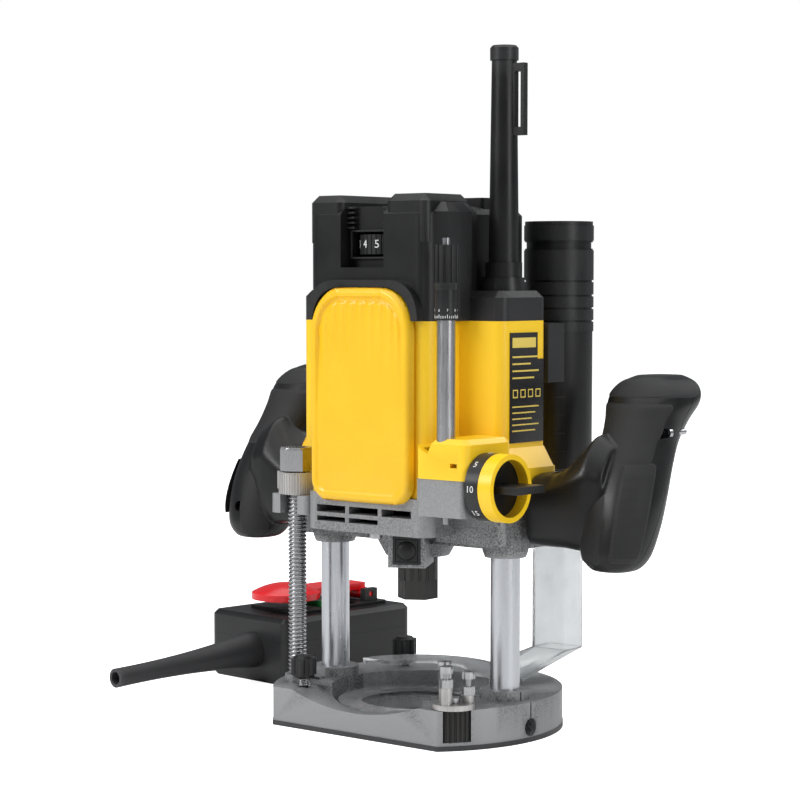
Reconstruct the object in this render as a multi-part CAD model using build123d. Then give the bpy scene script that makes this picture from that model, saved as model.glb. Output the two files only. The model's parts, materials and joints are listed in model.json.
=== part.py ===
from build123d import *
import math
import os

# Plunge router with guide columns, depth turret, dust extraction and a loose switch box.
# Millimetres. Origin: spindle axis on the underside of the sole. +Z up, -Y is the front,
# +X is the right-hand side as the user faces the front panel.

# ---------------------------------------------------------------- driving dimensions
SOLE_T = 3.0             # thickness of the plastic sole
BASE_R = 91.0            # radius of the round part of the base
BASE_FRONT = 63.0        # distance from the axis to the flat front edge
BASE_TOP = 24.0          # top of the base casting
DECK_TOP = 11.0          # top of the sunk deck inside the base rim
POCKET_R = 54.0          # radius of the sunk deck
OPENING_R = 32.0         # opening that the cutter works through

COLUMN_X = 68.4          # guide columns stand at plus and minus this X
COLUMN_R = 9.0
COLUMN_BORE_R = 6.0
COLUMN_FOOT = 6.0
COLUMN_TOP = 168.0
BOSS_TOP = 29.5          # top of the column bosses on the base
STROKE = 80.0            # plunge stroke
FIT = 0.05               # radial running clearance of shafts and bushes
SEAT = 0.02              # radial allowance of pieces that are pressed together
GAP = 0.3                # clearance between separate pieces that only face each other

FENCE_Y = 49.5           # fence rods lie at plus and minus this Y
FENCE_Z = 13.0
FENCE_R = 4.1
FENCE_KNOB_X = -51.5

SPINDLE_X, SPINDLE_Y = -67.0, -38.0      # threaded height spindle
TURRET_X, TURRET_Y = 66.0, -48.0         # turret stop pivot
STOP_CIRCLE = 9.0                        # stop screws stand on this radius
ROD_X, ROD_Y = 67.5, -57.0               # depth rod
ROD_R = 5.5

CARRIAGE_FOOT = 110.2    # underside of the column bosses on the carriage
CASTING_TOP = 147.0      # joint between the casting and the motor housing
HOUSING_TOP = 253.0      # joint between the housing and the top cap
SHOULDER_TOP = 271.0     # top of the cap over the column covers
CAP_TOP = 329.0
CORE_X, CORE_Y = 47.5, 50.0              # half sizes of the motor housing
SIDE_X = 80.0                            # outer face of the column covers
PANEL_BACK, PANEL_FRONT = -52.1, -57.6    # front panel
SIDE_Y0, SIDE_Y1 = -19.0, 27.0           # front and back of the column covers
WALL = 3.0
COVER_WALL = 1.8         # thinner wall beside the columns

PINION_TEETH = 14
MODULE = 0.8
PITCH_R = PINION_TEETH * MODULE / 2      # 5.6 mm of rod travel per radian
RACK_LINE = 4.6                          # rack pitch line, from the rod's axis
DIAL_Y = ROD_Y + RACK_LINE + PITCH_R
DIAL_Z = 157.0

TOWER_X, TOWER_Y = 62.0, 6.0             # cord tower
TUBE_X, TUBE_Y = 52.0, 77.0              # dust tube
TUBE_R = 22.0
HOSE_R, HOSE_STOP = 19.0, 211.0          # bore for a hose cuff, down to this height

LOCK_ANGLE = -60.0       # heading of the spindle-lock button, degrees from +X
SWITCH_X, SWITCH_Y, SWITCH_TURN = -146.0, 38.0, -6.0   # switch box corner and heading
SWITCH_W, SWITCH_L, SWITCH_H = 81.0, 120.0, 46.0
BOOT_X, BOOT_ROOT_Z, BOOT_TIP_Z = -36.0, 22.0, 16.5     # cord boot, in the box's own frame
BOOT_L, BOOT_BORE = 118.0, 4.2


# ---------------------------------------------------------------- helpers
def block(x0, x1, y0, y1, z0, z1):
    """Box from its corners."""
    centre = ((x0 + x1) / 2, (y0 + y1) / 2, (z0 + z1) / 2)
    return Pos(*centre) * Box(x1 - x0, y1 - y0, z1 - z0)


def rod(x, y, z0, z1, radius):
    """Upright cylinder."""
    return Pos(x, y, (z0 + z1) / 2) * Cylinder(radius, z1 - z0)


def cone(x, y, z0, z1, r0, r1):
    """Upright cone, r0 at z0 and r1 at z1."""
    return Pos(x, y, (z0 + z1) / 2) * Cone(r0, r1, z1 - z0)


def rod_x(x0, x1, y, z, radius):
    """Cylinder along X."""
    return Pos((x0 + x1) / 2, y, z) * Rot(0, 90, 0) * Cylinder(radius, x1 - x0)


def rod_y(x, y0, y1, z, radius):
    """Cylinder along Y."""
    return Pos(x, (y0 + y1) / 2, z) * Rot(90, 0, 0) * Cylinder(radius, y1 - y0)


def tube(x, y, z0, z1, outer, inner):
    """Upright tube."""
    return rod(x, y, z0, z1, outer) - rod(x, y, z0 - 1, z1 + 1, inner)


def hexagon(x, y, z0, z1, across_flats):
    """Upright hexagonal prism with one flat facing the front."""
    sketch = RegularPolygon(across_flats / 2, 6, major_radius=False, rotation=30)
    return extrude(Pos(x, y, z0) * sketch, z1 - z0)


def slab(x0, x1, y0, y1, z0, z1, corner):
    """Upright box with rounded vertical corners."""
    sketch = RectangleRounded(x1 - x0, y1 - y0, corner)
    return extrude(Pos((x0 + x1) / 2, (y0 + y1) / 2, z0) * sketch, z1 - z0)


def upright_prism(points, z0, z1):
    """Prism on a plan outline."""
    return extrude(Pos(0, 0, z0) * make_face(Polyline(*points, close=True)), z1 - z0)


def ring_of(count, radius, offset=0.0):
    """Points spread evenly round a circle."""
    angles = [math.radians(offset + 360.0 * i / count) for i in range(count)]
    return [(radius * math.cos(a), radius * math.sin(a)) for a in angles]


def knurl(x, y, z0, z1, outer, count, depth):
    """Cylinder with straight grooves round it."""
    body = rod(x, y, z0, z1, outer)
    cuts = [rod(x + dx, y + dy, z0 - 1, z1 + 1, depth) for dx, dy in ring_of(count, outer)]
    return body - cuts


def both_sides(shape):
    """The shape and its mirror image across the X = 0 plane."""
    return [shape, mirror(shape, Plane.YZ)]


def mirrored(shape):
    return mirror(shape, Plane.YZ)


def group(shapes):
    """Separate solids in one node."""
    solids = [s for shape in shapes for s in shape.solids()]
    return Compound(children=solids)


# ---------------------------------------------------------------- base
def base_outline(z0, z1, inset=0.0):
    disc = rod(0, 0, z0, z1, BASE_R - inset)
    return disc - block(-100, 100, -100, -BASE_FRONT + inset, z0 - 1, z1 + 1)


MOUNT_HOLES = ring_of(3, 58.0, 90.0)     # tapped holes for jigs and table plates
MOUNT_HOLE_R = 2.5
SOLE_SCREWS = [(70.0, 33.0), (-70.0, 33.0), (-30.0, -57.5), (30.0, -57.5)]


def sole_screw(x, y, grow=0.0):
    head = cone(x, y, 0.3 - grow, 2.3, 3.7 + grow, 1.7 + grow)
    return head + rod(x, y, 2.2, 11.0 + grow, 1.7 + grow)


def sole_plate():
    plate = base_outline(0, SOLE_T)
    plate -= rod(0, 0, -1, SOLE_T + 1, OPENING_R)
    plate -= [rod(x, y, -1, SOLE_T + 1, MOUNT_HOLE_R) for x, y in MOUNT_HOLES]
    plate -= [sole_screw(x, y, 0.4) for x, y in SOLE_SCREWS]
    return plate


def sole_screws():
    slot = [block(x - 3, x + 3, y - 0.5, y + 0.5, 0, 1.2) for x, y in SOLE_SCREWS]
    return group([sole_screw(x, y) - s for (x, y), s in zip(SOLE_SCREWS, slot)])


def base_casting():
    floor = SOLE_T
    body = base_outline(floor, BASE_TOP, 0.4)
    body -= rod(0, 0, DECK_TOP, BASE_TOP + 1, POCKET_R)
    body -= rod(0, 0, 0, BASE_TOP, OPENING_R + 1)
    dip_low, dip_half = 15.0, 50.0                   # hollowed top edge of the front wall
    rise = BASE_TOP - dip_low
    dip_r = (dip_half ** 2 + rise ** 2) / (2 * rise)
    body -= rod_y(0, -BASE_FRONT - 1, -40, dip_low + dip_r, dip_r)
    for side in (-1, 1):
        body += rod(side * COLUMN_X, 0, DECK_TOP, BOSS_TOP, 15.0)
    body += rod(SPINDLE_X, SPINDLE_Y, BASE_TOP - 1, 29.0, 8.0)
    for x, y in ring_of(8, 43.0, 22.5):              # stiffening pads on the deck
        body += rod(x, y, DECK_TOP - 1, DECK_TOP + 2.0, 4.0)
    for side in (-1, 1):
        body -= rod(side * COLUMN_X, 0, COLUMN_FOOT, BOSS_TOP + 1, COLUMN_R + SEAT)
        body -= rod_x(-95, -40, side * FENCE_Y, FENCE_Z, FENCE_R)
        body -= rod(FENCE_KNOB_X, side * FENCE_Y, FENCE_Z, BASE_TOP + 1, 3.0 + FIT)
    body -= rod_x(78, 95, -3.5, 9.0, 5.5)            # clamp socket at the right-hand end
    body -= block(74, 95, -4.1, -2.9, 9.0, BOSS_TOP + 1)
    body -= rod(SPINDLE_X, SPINDLE_Y, 8.0, 30.0, 4.0 + FIT)
    body -= rod(TURRET_X, TURRET_Y, 5.0, BASE_TOP + 1, 12.2)
    body -= rod(TURRET_X, TURRET_Y, 2.0, 6.0, 2.6 + SEAT)
    body -= [rod(x, y, 0, 14.0, MOUNT_HOLE_R) for x, y in MOUNT_HOLES]
    body -= [sole_screw(x, y, 0.1) for x, y in SOLE_SCREWS]
    body -= block(-77, -60, -27, -14.5, 12.0, BOSS_TOP + 1)      # room for the clamp bolt's head
    return body - rod_y(-COLUMN_X, -22.0, -5.0, 19.0, 2.5 + SEAT)


def base_bolts():
    """Bolt that pinches the left column, and the pivot bolt of the turret."""
    head = RegularPolygon(5.0, 6, major_radius=False)
    place = Pos(-COLUMN_X, -15.2, 19.0) * Rot(90, 0, 0)
    clamp = place * extrude(head, 4.0) + rod_y(-COLUMN_X, -15.3, -9.4, 19.0, 2.5)
    pivot = rod(TURRET_X, TURRET_Y, 3.2, 27.8, 2.6) + rod(TURRET_X, TURRET_Y, 27.8, 30.5, 4.3)
    return group([clamp, pivot])


def guide_columns():
    return group([tube(side * COLUMN_X, 0, COLUMN_FOOT, COLUMN_TOP, COLUMN_R, COLUMN_BORE_R)
                  for side in (-1, 1)])


def plunge_springs():
    """Return springs inside the columns, as plain sleeves of the coils' size."""
    return group([tube(side * COLUMN_X, 0, COLUMN_FOOT + 1, 262.6, 5.2, 4.0) for side in (-1, 1)])


def knob_springs():
    return group([tube(FENCE_KNOB_X, side * FENCE_Y, BASE_TOP, 29.6, 4.4, 3.4)
                  for side in (-1, 1)])


def fence_knob(y):
    """Lobed clamp knob on an M6 screw that bears on a fence rod."""
    x = FENCE_KNOB_X
    body = rod(x, y, 30.0, 42.0, 6.6) + cone(x, y, 42.0, 43.5, 6.6, 5.0)
    body += [rod(x + dx, y + dy, 31.5, 42.0, 2.1) for dx, dy in ring_of(6, 6.2)]
    return body + rod(x, y, FENCE_Z + FENCE_R + 0.4, 31.0, 3.0)


def height_spindle():
    """Threaded spindle; the thread is a plain rod on its outside diameter."""
    shank = rod(SPINDLE_X, SPINDLE_Y, 30.0, 157.4, 5.8)
    spigot = rod(SPINDLE_X, SPINDLE_Y, 9.0, 30.5, 4.0)
    return shank + spigot + rod(SPINDLE_X, SPINDLE_Y, 157.0, 170.0, 4.0)


def spindle_head_nut():
    x, y = SPINDLE_X, SPINDLE_Y
    nut = hexagon(x, y, 157.8, 172.6, 19.0)
    nut &= cone(x, y, 150.0, 175.0, 20.0, 9.0) + rod(x, y, 150.0, 170.0, 12.0)
    return nut - rod(x, y, 157.0, 170.2, 4.0 + SEAT)


# ---------------------------------------------------------------- turret stop
STOP_ANGLES = (-78.0, 42.0, 162.0)
STOP_TOPS = (50.5, 46.0, 50.8)


def stop_points():
    return [(TURRET_X + STOP_CIRCLE * math.cos(math.radians(a)),
             TURRET_Y + STOP_CIRCLE * math.sin(math.radians(a))) for a in STOP_ANGLES]


def turret_wheel():
    """Knurled wheel sunk in the base, with a flange that carries three stop posts."""
    wheel = knurl(TURRET_X, TURRET_Y, 5.5, 24.5, 11.5, 24, 0.7)
    wheel += rod(TURRET_X, TURRET_Y, 24.3, 27.5, 13.2)
    tops = (37.5, 32.0, 39.0)
    for (x, y), top in zip(stop_points(), tops):
        wheel += rod(x, y, 27.0, top, 3.6)
        wheel -= rod(x, y, 20.0, top + 1, 1.75 + SEAT)
    return wheel - rod(TURRET_X, TURRET_Y, 5.0, 30.0, 2.6 + FIT)


def turret_stop_screws():
    screws = []
    for (x, y), top in zip(stop_points(), STOP_TOPS):
        slot = block(x - 5, x + 5, y - 0.6, y + 0.6, top - 1.4, top + 1)
        screws.append(rod(x, y, top - 4.2, top, 4.2) - slot + rod(x, y, 22.0, top - 4.0, 1.75))
    return group(screws)


def turret_lock_nuts():
    nuts = []
    for (x, y), top in zip(stop_points(), (37.6, 32.1, 39.1)):
        nuts.append(hexagon(x, y, top, top + 5.0, 7.0) - rod(x, y, top - 1, top + 6, 1.75 + SEAT))
    return group(nuts)


# ---------------------------------------------------------------- dust extraction
def riser_section(z0, z1, inset):
    w, d = 28.0 - 2 * inset, 21.0 - 2 * inset
    return slab(TUBE_X - w / 2, TUBE_X + w / 2, TUBE_Y - d / 2, TUBE_Y + d / 2, z0, z1, 4.0 - inset)


def dust_riser():
    """Clear rectangular duct that telescopes in the dust tube."""
    return riser_section(44.0, 200.0, 0) - riser_section(43.0, 201.0, 1.8)


def chute(inset):
    """Sloping duct from the hood to the riser."""
    low = Plane((34.0, 33.0, 27.0), x_dir=(0.74, -0.67, 0), z_dir=(0.62, 0.68, 0.4))
    high = Plane((TUBE_X, TUBE_Y, 43.8), x_dir=(1, 0, 0), z_dir=(0, 0, 1))
    start = low * RectangleRounded(34 - 2 * inset, 15 - 2 * inset, 5 - inset)
    end = high * RectangleRounded(28 - 2 * inset, 21 - 2 * inset, 4 - inset)
    return loft([start, end])


def dust_shroud():
    """Clear hood over the back of the opening, with its chute up to the riser."""
    wall = tube(0, 0, 13.4, 34.5, 52.5, 50.3)
    roof = rod(0, 0, 32.5, 34.5, 52.5) - rod(0, 0, 30, 40, 31.0)
    flange = rod(0, 0, 13.2, 15.4, 52.5) - rod(0, 0, 10, 20, 36.0)
    back = block(-60, 60, 8.0, 60, 10, 45)
    hood = (wall + roof + flange) & back
    hood += flange & block(-60, 60, -53, 9, 10, 20) & rod(0, 0, 10, 20, 50.0)
    hood += chute(0) - rod(0, 0, 10, 60, 50.3)
    hood -= chute(2.0)
    hood -= riser_section(43.7, 60, -0.2)
    return hood - tube(0, 0, 0, BASE_TOP + 0.2, 200, POCKET_R - 0.4)


def dust_tube():
    """Black upper tube, ringed near its top, with its bracket to the housing."""
    x, y, top = TUBE_X, TUBE_Y, 316.0
    body = rod(x, y, 159.0, top - 2, TUBE_R - 0.6)
    body += rod(x, y, 245.0, 296.0, TUBE_R)
    body += rod(x, y, 302.0, top - 4.5, TUBE_R)
    body -= tube(x, y, 297.0, 301.0, TUBE_R + 2, TUBE_R - 1.6)
    for z in (251.0, 259.0, 267.0, 276.0):
        body -= tube(x, y, z, z + 1.2, TUBE_R + 2, TUBE_R - 1.0)
    bracket = block(60.0, SIDE_X, SIDE_Y1 + GAP, 66.0, 215.0, 251.0)
    body += bracket - upright_prism([(66, 44), (81, 44), (81, 67), (66, 67)], 214, 252)
    return body - rod(x, y, 158, HOSE_STOP, 19.5) - rod(x, y, HOSE_STOP - 1, top + 1, HOSE_R)


# ---------------------------------------------------------------- carriage casting
def lock_place(radius, z):
    """Place on the lock button's axis, its X axis along it, away from the spindle."""
    return Rot(0, 0, LOCK_ANGLE) * Pos(radius, 0, z)


LOCK_Z = 113.5           # height of the lock button
LOCK_PIN_Z = 110.4       # height of its pin, level with the flats on the shaft


def carriage_casting():
    core = slab(-CORE_X - 1, CORE_X + 1, -52, 50, 124.0, CASTING_TOP, 9.0)
    wings = slab(-84, 84, -16, SIDE_Y1, 116.0, CASTING_TOP, 5.0)
    body = core + wings
    for side in (-1, 1):
        body += cone(side * COLUMN_X, 0, CARRIAGE_FOOT, 114.0, 12.6, 14.0)
        body += rod(side * COLUMN_X, 0, 114.0, 120.0, 14.0)
        near, far = sorted((side * 30, side * 84))
        body += slab(near, far, -25.5, 0, 119.0, CASTING_TOP, 6.0)
        body += rod_x(*sorted((side * 80, side * 94)), ARM_Y, SPIGOT_Z, SPIGOT_R)
    body += cone(0, 0, 106.5, 125.0, 20.0, 30.0)                       # spindle nose
    body += slab(49, 85, -63, -22, 139.0, 161.0, 3.0)                  # depth rod block
    body += lock_place(26.0, 115.5) * Box(34.0, 23.0, 25.0)            # spindle-lock boss
    body -= rod(0, 0, 129.0, CASTING_TOP + 1, 42.5)                    # fan chamber
    body -= rod(0, 0, 113.0, 130.0, 17.5 + SEAT)                       # bearing seat
    body -= rod(0, 0, 100.0, 114.0, 14.3)
    body -= lock_place(32.0, LOCK_Z) * Box(24.0, 17.2, 17.2)           # lock button pocket
    body -= lock_place(17.0, LOCK_PIN_Z) * Rot(0, 90, 0) * Cylinder(1.8 + FIT, 12.0)
    for side in (-1, 1):
        body -= rod(side * COLUMN_X, 0, 100, 150, COLUMN_R + 0.6)
        body -= rod(side * COLUMN_X, 0, 112.0, 141.0, 11.0 + SEAT)
        body -= rod_x(*sorted((side * 78, side * 95)), ARM_Y, SPIGOT_Z, 3.0)
    for i in range(3):                                                 # upper air vents
        body -= block(-38 + 26 * i, -15 + 26 * i, -60, -30, 135.0, 139.5)
    for i in range(2):                                                 # lower air vents
        body -= block(-38 + 26 * i, -15 + 26 * i, -60, -30, 129.5, 132.5)
    body -= rod(ROD_X, ROD_Y, 130, 165, ROD_R + 0.3)
    body -= rod_x(57.0, 90.0, DIAL_Y, DIAL_Z, PITCH_R + MODULE + 0.5)
    body -= block(57.0, 84.0, DIAL_Y - 7.2, DIAL_Y + 7.2, DIAL_Z, 162.0)
    for x, y in UNDER_SCREWS:
        body -= rod(x, y, 120.0, 128.5, 2.0 + SEAT)
    return body


def spindle_fork():
    """Open fork on the front of the left column boss, which the height spindle stands in."""
    arm = slab(-83, -51, -46, -25.5 - SEAT, 131.0, 143.0, 4.0)
    return arm - block(SPINDLE_X - 7.2, SPINDLE_X + 7.2, -50, SPINDLE_Y + 7.2, 120, 150)


UNDER_SCREWS = [(5.0, -46.5), (-40.0, 42.0), (40.0, 42.0)]


def guide_bushes():
    return group([tube(side * COLUMN_X, 0, 112.1, 140.9, 11.0, COLUMN_R + FIT) for side in (-1, 1)])


def spring_guide_pins():
    """Pins that hang from the roof of the cap inside the return springs."""
    pins = [rod(side * COLUMN_X, 0, 110.0, 266.9, 2.6) + rod(side * COLUMN_X, 0, 263.0, 266.9, 5.6)
            for side in (-1, 1)]
    return group(pins)


def lock_bezel():
    frame = lock_place(40.8, LOCK_Z) * Box(5.0, 17.0, 17.0)
    return frame - lock_place(40.8, LOCK_Z) * Box(8.0, 13.8, 13.8)


def spindle_lock_button():
    """Dished push button with the pin that blocks the shaft when it is pressed."""
    button = lock_place(39.0, LOCK_Z) * Box(9.0, 13.2, 13.2)
    dish = lock_place(43.6 + 16.0, LOCK_Z) * Sphere(17.2)
    pin = lock_place(24.7, LOCK_PIN_Z) * Rot(0, 90, 0) * Cylinder(1.8, 22.6)
    return button - dish + pin


# ---------------------------------------------------------------- housing and covers
def housing_solid(inset, z0, z1):
    """Outer form of the motor housing with both column covers, shrunk by inset."""
    core = slab(-CORE_X + inset, CORE_X - inset, -CORE_Y + inset, CORE_Y - inset, z0, z1, 9.0 - inset)
    wings = slab(-SIDE_X + inset, SIDE_X - inset, SIDE_Y0 + inset, SIDE_Y1 - inset, z0, z1, 7.0 - inset)
    return core + wings


def motor_housing():
    z0, z1 = CASTING_TOP + 0.1, HOUSING_TOP
    body = housing_solid(0, z0, z1)
    for side in (-1, 1):                                       # flared feet of the covers
        low = slab(-8, 8, SIDE_Y0, SIDE_Y1, z0, 165.0, 4.0)
        body += Pos(side * (SIDE_X - 0.5), 0, 0) * low
        flare = Polyline((78.0, 165.0), (87.5, 165.0), (80.0, 177.0), (78.0, 177.0), close=True)
        wedge = Pos(0, SIDE_Y1 - 4, 0) * extrude(Plane.XZ * make_face(flare), SIDE_Y1 - SIDE_Y0 - 8)
        body += wedge if side > 0 else mirrored(wedge)
    core_room = slab(-CORE_X + WALL, CORE_X - WALL, -CORE_Y + WALL, CORE_Y - WALL, 140, 260, 6.0)
    body -= core_room
    for side in (-1, 1):                                       # rooms for the columns
        xs = sorted((side * (CORE_X + WALL), side * (SIDE_X - COVER_WALL)))
        body -= slab(xs[0], xs[1], SIDE_Y0 + WALL, SIDE_Y1 - WALL, 140, 260, 5.0)
    cradle = tube(0, 0, 176.0, 204.0, 42.5, 39.0 + SEAT)       # ring that holds the stator
    body += cradle & block(-44.6, 44.6, -47.1, 47.1, 170, 210)
    for a in (45, 135, 225, 315):
        rib = Rot(0, 0, a) * block(42.0, 68.0, -2.0, 2.0, 176.0, 204.0)
        body += rib & slab(-46, 46, -48.5, 48.5, 170, 210, 7.0)
    spider = block(-45, 45, -7, 7, 250.0, HOUSING_TOP) + block(-7, 7, -47.5, 47.5, 250.0, HOUSING_TOP)
    body += spider + rod(0, 0, 250.0, 262.0, 18.0)
    pad = panel_slab(-3.0, -CORE_Y + 1, PANEL_BACK + 0.05)
    body += pad & block(-50, 50, -60, 0, z0, z1)
    body -= rod(0, 0, 251.8, 263.0, 14.0 + SEAT)
    body -= rod(0, 0, 240.0, 263.0, 8.0)
    return body


def panel_outline(grow):
    """Outline of the front panel: straight sides, arched top, rounded feet."""
    w, z0, z1, foot = 39.5 + grow, 143.0 - grow, 273.0 + grow, 13.0 + grow
    with BuildSketch(Plane.XZ) as outline:
        with BuildLine():
            left = Line((-w, z0 + foot), (-w, z1 - 27))
            arch_left = Spline(left @ 1, (-w + 24, z1), tangents=((0, 1), (1, 0)))
            top = Line(arch_left @ 1, (w - 24, z1))
            arch_right = Spline(top @ 1, (w, z1 - 27), tangents=((1, 0), (0, -1)))
            right = Line(arch_right @ 1, (w, z0 + foot))
            foot_right = RadiusArc(right @ 1, (w - foot, z0), foot)
            bottom = Line(foot_right @ 1, (-w + foot, z0))
            RadiusArc(bottom @ 1, left @ 0, foot)
        make_face()
    return outline.sketch


def panel_slab(grow, y_back, y_front):
    """Plate on the front panel's outline between two Y planes."""
    return Pos(0, y_back, 0) * extrude(panel_outline(grow), y_back - y_front)


def front_panel():
    """Raised cover on the front, arched at its top and hollowed behind."""
    shell = panel_slab(0, PANEL_BACK, PANEL_FRONT)
    shell = chamfer(shell.faces().sort_by(Axis.Y)[0].edges(), 2.0)
    return shell - block(-30, 30, PANEL_BACK - 2.5, PANEL_BACK + 1, 160, 240)


def top_cap():
    """Black cap with two brows either side of the speed dial, and shoulders on the covers."""
    z0 = HOUSING_TOP + 0.1
    shoulders = slab(-SIDE_X, SIDE_X, SIDE_Y0, SIDE_Y1, z0, SHOULDER_TOP, 7.0)
    shoulders = chamfer(shoulders.faces().sort_by(Axis.Z)[-1].edges(), 4.0)
    core = slab(-CORE_X, CORE_X, -CORE_Y, CORE_Y, z0, 322.0, 9.0)
    core = chamfer(core.faces().sort_by(Axis.Z)[-1].edges(), 5.0)
    brow_left = slab(-CORE_X + 1, -20, -CORE_Y + 0.6, 20, 300.0, CAP_TOP, 5.0)
    brow_right = slab(14, CORE_X - 1, -CORE_Y + 0.6, -6, 300.0, CAP_TOP, 5.0)
    brows = [chamfer(b.faces().sort_by(Axis.Z)[-1].edges(), 4.5) for b in (brow_left, brow_right)]
    bulge = upright_prism([(40, -47), (54, -38), (56, -29), (56, -18), (52, -8), (40, -1)], z0, 324.0)
    bulge = chamfer(bulge.faces().sort_by(Axis.Z)[-1].edges(), 6.0)
    body = shoulders + core + brows + bulge + slab(24, 44, 8, 30, 315.0, 327.5, 2.0)
    lip = panel_slab(4.5, -CORE_Y + 1, -CORE_Y - 5.0) - panel_slab(0.15, -CORE_Y - 2, -CORE_Y - 6)
    body += lip & block(-60, 60, -60, 0, z0, 300)
    body -= block(-20, 14, -60, -40, 285.0, 340)                # recess between the brows
    body -= block(-20, 14, -41, 20, 325.0, 340)
    body -= block(-17, 11, -41, -30, 291.5, 306.5)              # speed dial window
    core_room = slab(-CORE_X + WALL, CORE_X - WALL, -CORE_Y + WALL, CORE_Y - WALL, 240, 285.0, 6.0)
    upper_room = slab(-CORE_X + WALL, CORE_X - WALL, -37.0, CORE_Y - WALL, 284.0, 319.0, 6.0)
    body -= core_room + upper_room
    body += block(-10, 4, -38, -20, 286.0, 290.5)               # lower bearing of the speed dial
    body -= rod(-3.0, -27.0, 280.0, 292.0, 2.5 + FIT)
    for side in (-1, 1):
        xs = sorted((side * (CORE_X + WALL), side * (SIDE_X - COVER_WALL)))
        body -= slab(xs[0], xs[1], SIDE_Y0 + WALL, SIDE_Y1 - WALL, 240, SHOULDER_TOP - 4, 5.0)
    body -= rod(TOWER_X, TOWER_Y, 260, 280, 9.0 + SEAT)
    return body


def rating_plate():
    plate = block(SIDE_X + 0.02, SIDE_X + 0.7, -12.0, 21.5, 180.0, 246.0)
    return plate - block(SIDE_X - 1, SIDE_X + 2, 15.5, 30.0, 230.0, 250.0)


def dial_cover():
    """Yellow cover over the rod block, pierced by the depth rod."""
    body = slab(49.5, 88.0, -64.0, SIDE_Y0 - 0.4, 161.1, 185.0, 5.0)
    slope = Pos(49.5, -42, 190.0) * Rot(0, 28, 0) * Box(30, 60, 16)
    body -= slope
    body = chamfer(body.edges().filter_by(Axis.X).sort_by(Axis.Z)[-1], 3.0)
    body -= block(53.0, 84.0, -60.0, -24.0, 155.0, 181.0)
    body -= rod(ROD_X, ROD_Y, 150, 190, ROD_R + 0.3)
    return body - block(76.0, 81.0, -65.0, -60.0, 168.5, 171.0)


# ---------------------------------------------------------------- cord tower
def cord_tower():
    x, y = TOWER_X, TOWER_Y
    body = rod(x, y, 267.2, 278.0, 9.0)
    body += cone(x, y, SHOULDER_TOP, 279.0, 13.6, 12.4)
    body += rod(x, y, 279.0, 288.0, 11.2)
    body += cone(x, y, 288.0, 409.0, 9.2, 7.6)
    clip = block(x + 6.5, x + 16.0, y - 2.0, y + 2.0, 364.0, 407.0)
    clip -= block(x + 9.2, x + 13.6, y - 3.0, y + 3.0, 369.0, 402.0)
    body += clip
    return body - rod(x, y, 260, 415, 4.6)


def tower_cap():
    x, y = TOWER_X, TOWER_Y
    cap = rod(x, y, 409.1, 416.5, 8.6) + cone(x, y, 416.5, 418.0, 8.6, 7.2)
    return cap - rod(x, y, 400, 420, 4.6)


# ---------------------------------------------------------------- handles
GRIP = [  # height, centre X, centre Y, half width, half depth
    (110.0, 146.0, 8.0, 14.0, 15.0),
    (118.0, 146.5, 10.0, 20.0, 21.0),
    (150.0, 146.0, 22.0, 23.5, 25.0),
    (185.0, 142.5, 41.0, 22.5, 25.0),
    (207.0, 140.0, 60.0, 24.5, 27.0),
    (221.0, 138.0, 70.0, 14.0, 18.0),
]
GRIP_WALL = 3.2
ARM_ROOT = 88.0          # the arm of each handle starts at this X
ARM_Y = 12.0
SPIGOT_Z, SPIGOT_R = 135.5, 11.0     # casting spigots that the handles clamp on
SEAM = Plane(origin=(0, 16.0, 130.0), x_dir=(1, 0, 0), z_dir=(0, 0.86, -0.51))
RIGHT_SCREWS = [(158.0, 124.0), (158.0, 187.0)]         # clamshell screws, X and height
LEFT_SCREWS = [(146.0, 128.0), (133.0, 186.0)]          # the same, as distances from the spindle


def grip_form(shrink):
    """Leaning grip and its arm, right-hand side, shrunk by the given amount."""
    sections = []
    for i, (z, x, y, a, b) in enumerate(GRIP):
        if i == 0:
            z += shrink
        if i == len(GRIP) - 1:
            z -= shrink
        sections.append(Pos(x, y, z) * Ellipse(a - shrink, b - shrink))
    grip = loft(sections)
    face = Plane((ARM_ROOT, ARM_Y, 140.0), x_dir=(0, 1, 0), z_dir=(1, 0, 0))
    arm = extrude(face * RectangleRounded(40 - 2 * shrink, 44 - 2 * shrink, 14 - shrink), 146.0 - ARM_ROOT)
    return grip + arm


def handle_shell(screws):
    shell = grip_form(0) - grip_form(GRIP_WALL)
    seat = block(ARM_ROOT, ARM_ROOT + 4, -30, 60, 100, 180) & grip_form(GRIP_WALL - 0.3)
    seat -= rod_x(ARM_ROOT - 1, ARM_ROOT + 5, ARM_Y, SPIGOT_Z, SPIGOT_R + SEAT)
    return shell + seat + handle_posts(screws)


def handle_posts(screws):
    """Inner posts that the clamshell screws run through."""
    posts = [rod_y(x, -30, 80, z, 5.0) for x, z in screws]
    return (posts[0] + posts[1]) & grip_form(GRIP_WALL - 0.3)


def handle_half(front, screws):
    """One half of a clamshell, drawn on the right-hand side."""
    shell = handle_shell(screws)
    half = split(shell, SEAM, keep=Keep.BOTTOM if front else Keep.TOP)
    for x, z in screws:
        half -= rod_y(x, -40, seam_y(z) - 8.0, z, 3.4)
        half -= rod_y(x, -40, seam_y(z) + 9.0, z, 1.9 + SEAT)
    return half


def seam_y(z):
    """Y of the clamshell seam at a height."""
    return 16.0 + (z - 130.0) * 0.51 / 0.86


def trigger_pocket(grow):
    """Slot through the back of the right-hand grip, level with the arm."""
    return block(139.5 - grow, 152.5 + grow, 30.0, 75.0, 146.0 - grow, 170.0 + grow)


def trigger():
    """Finger trigger in the back of the right-hand grip; it travels forwards."""
    lever = trigger_pocket(0) & (Pos(0, 2.6, 0) * grip_form(0))
    return lever - Pos(0, -5.0, 0) * grip_form(GRIP_WALL)


def right_handle_front():
    return handle_half(True, RIGHT_SCREWS)


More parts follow.
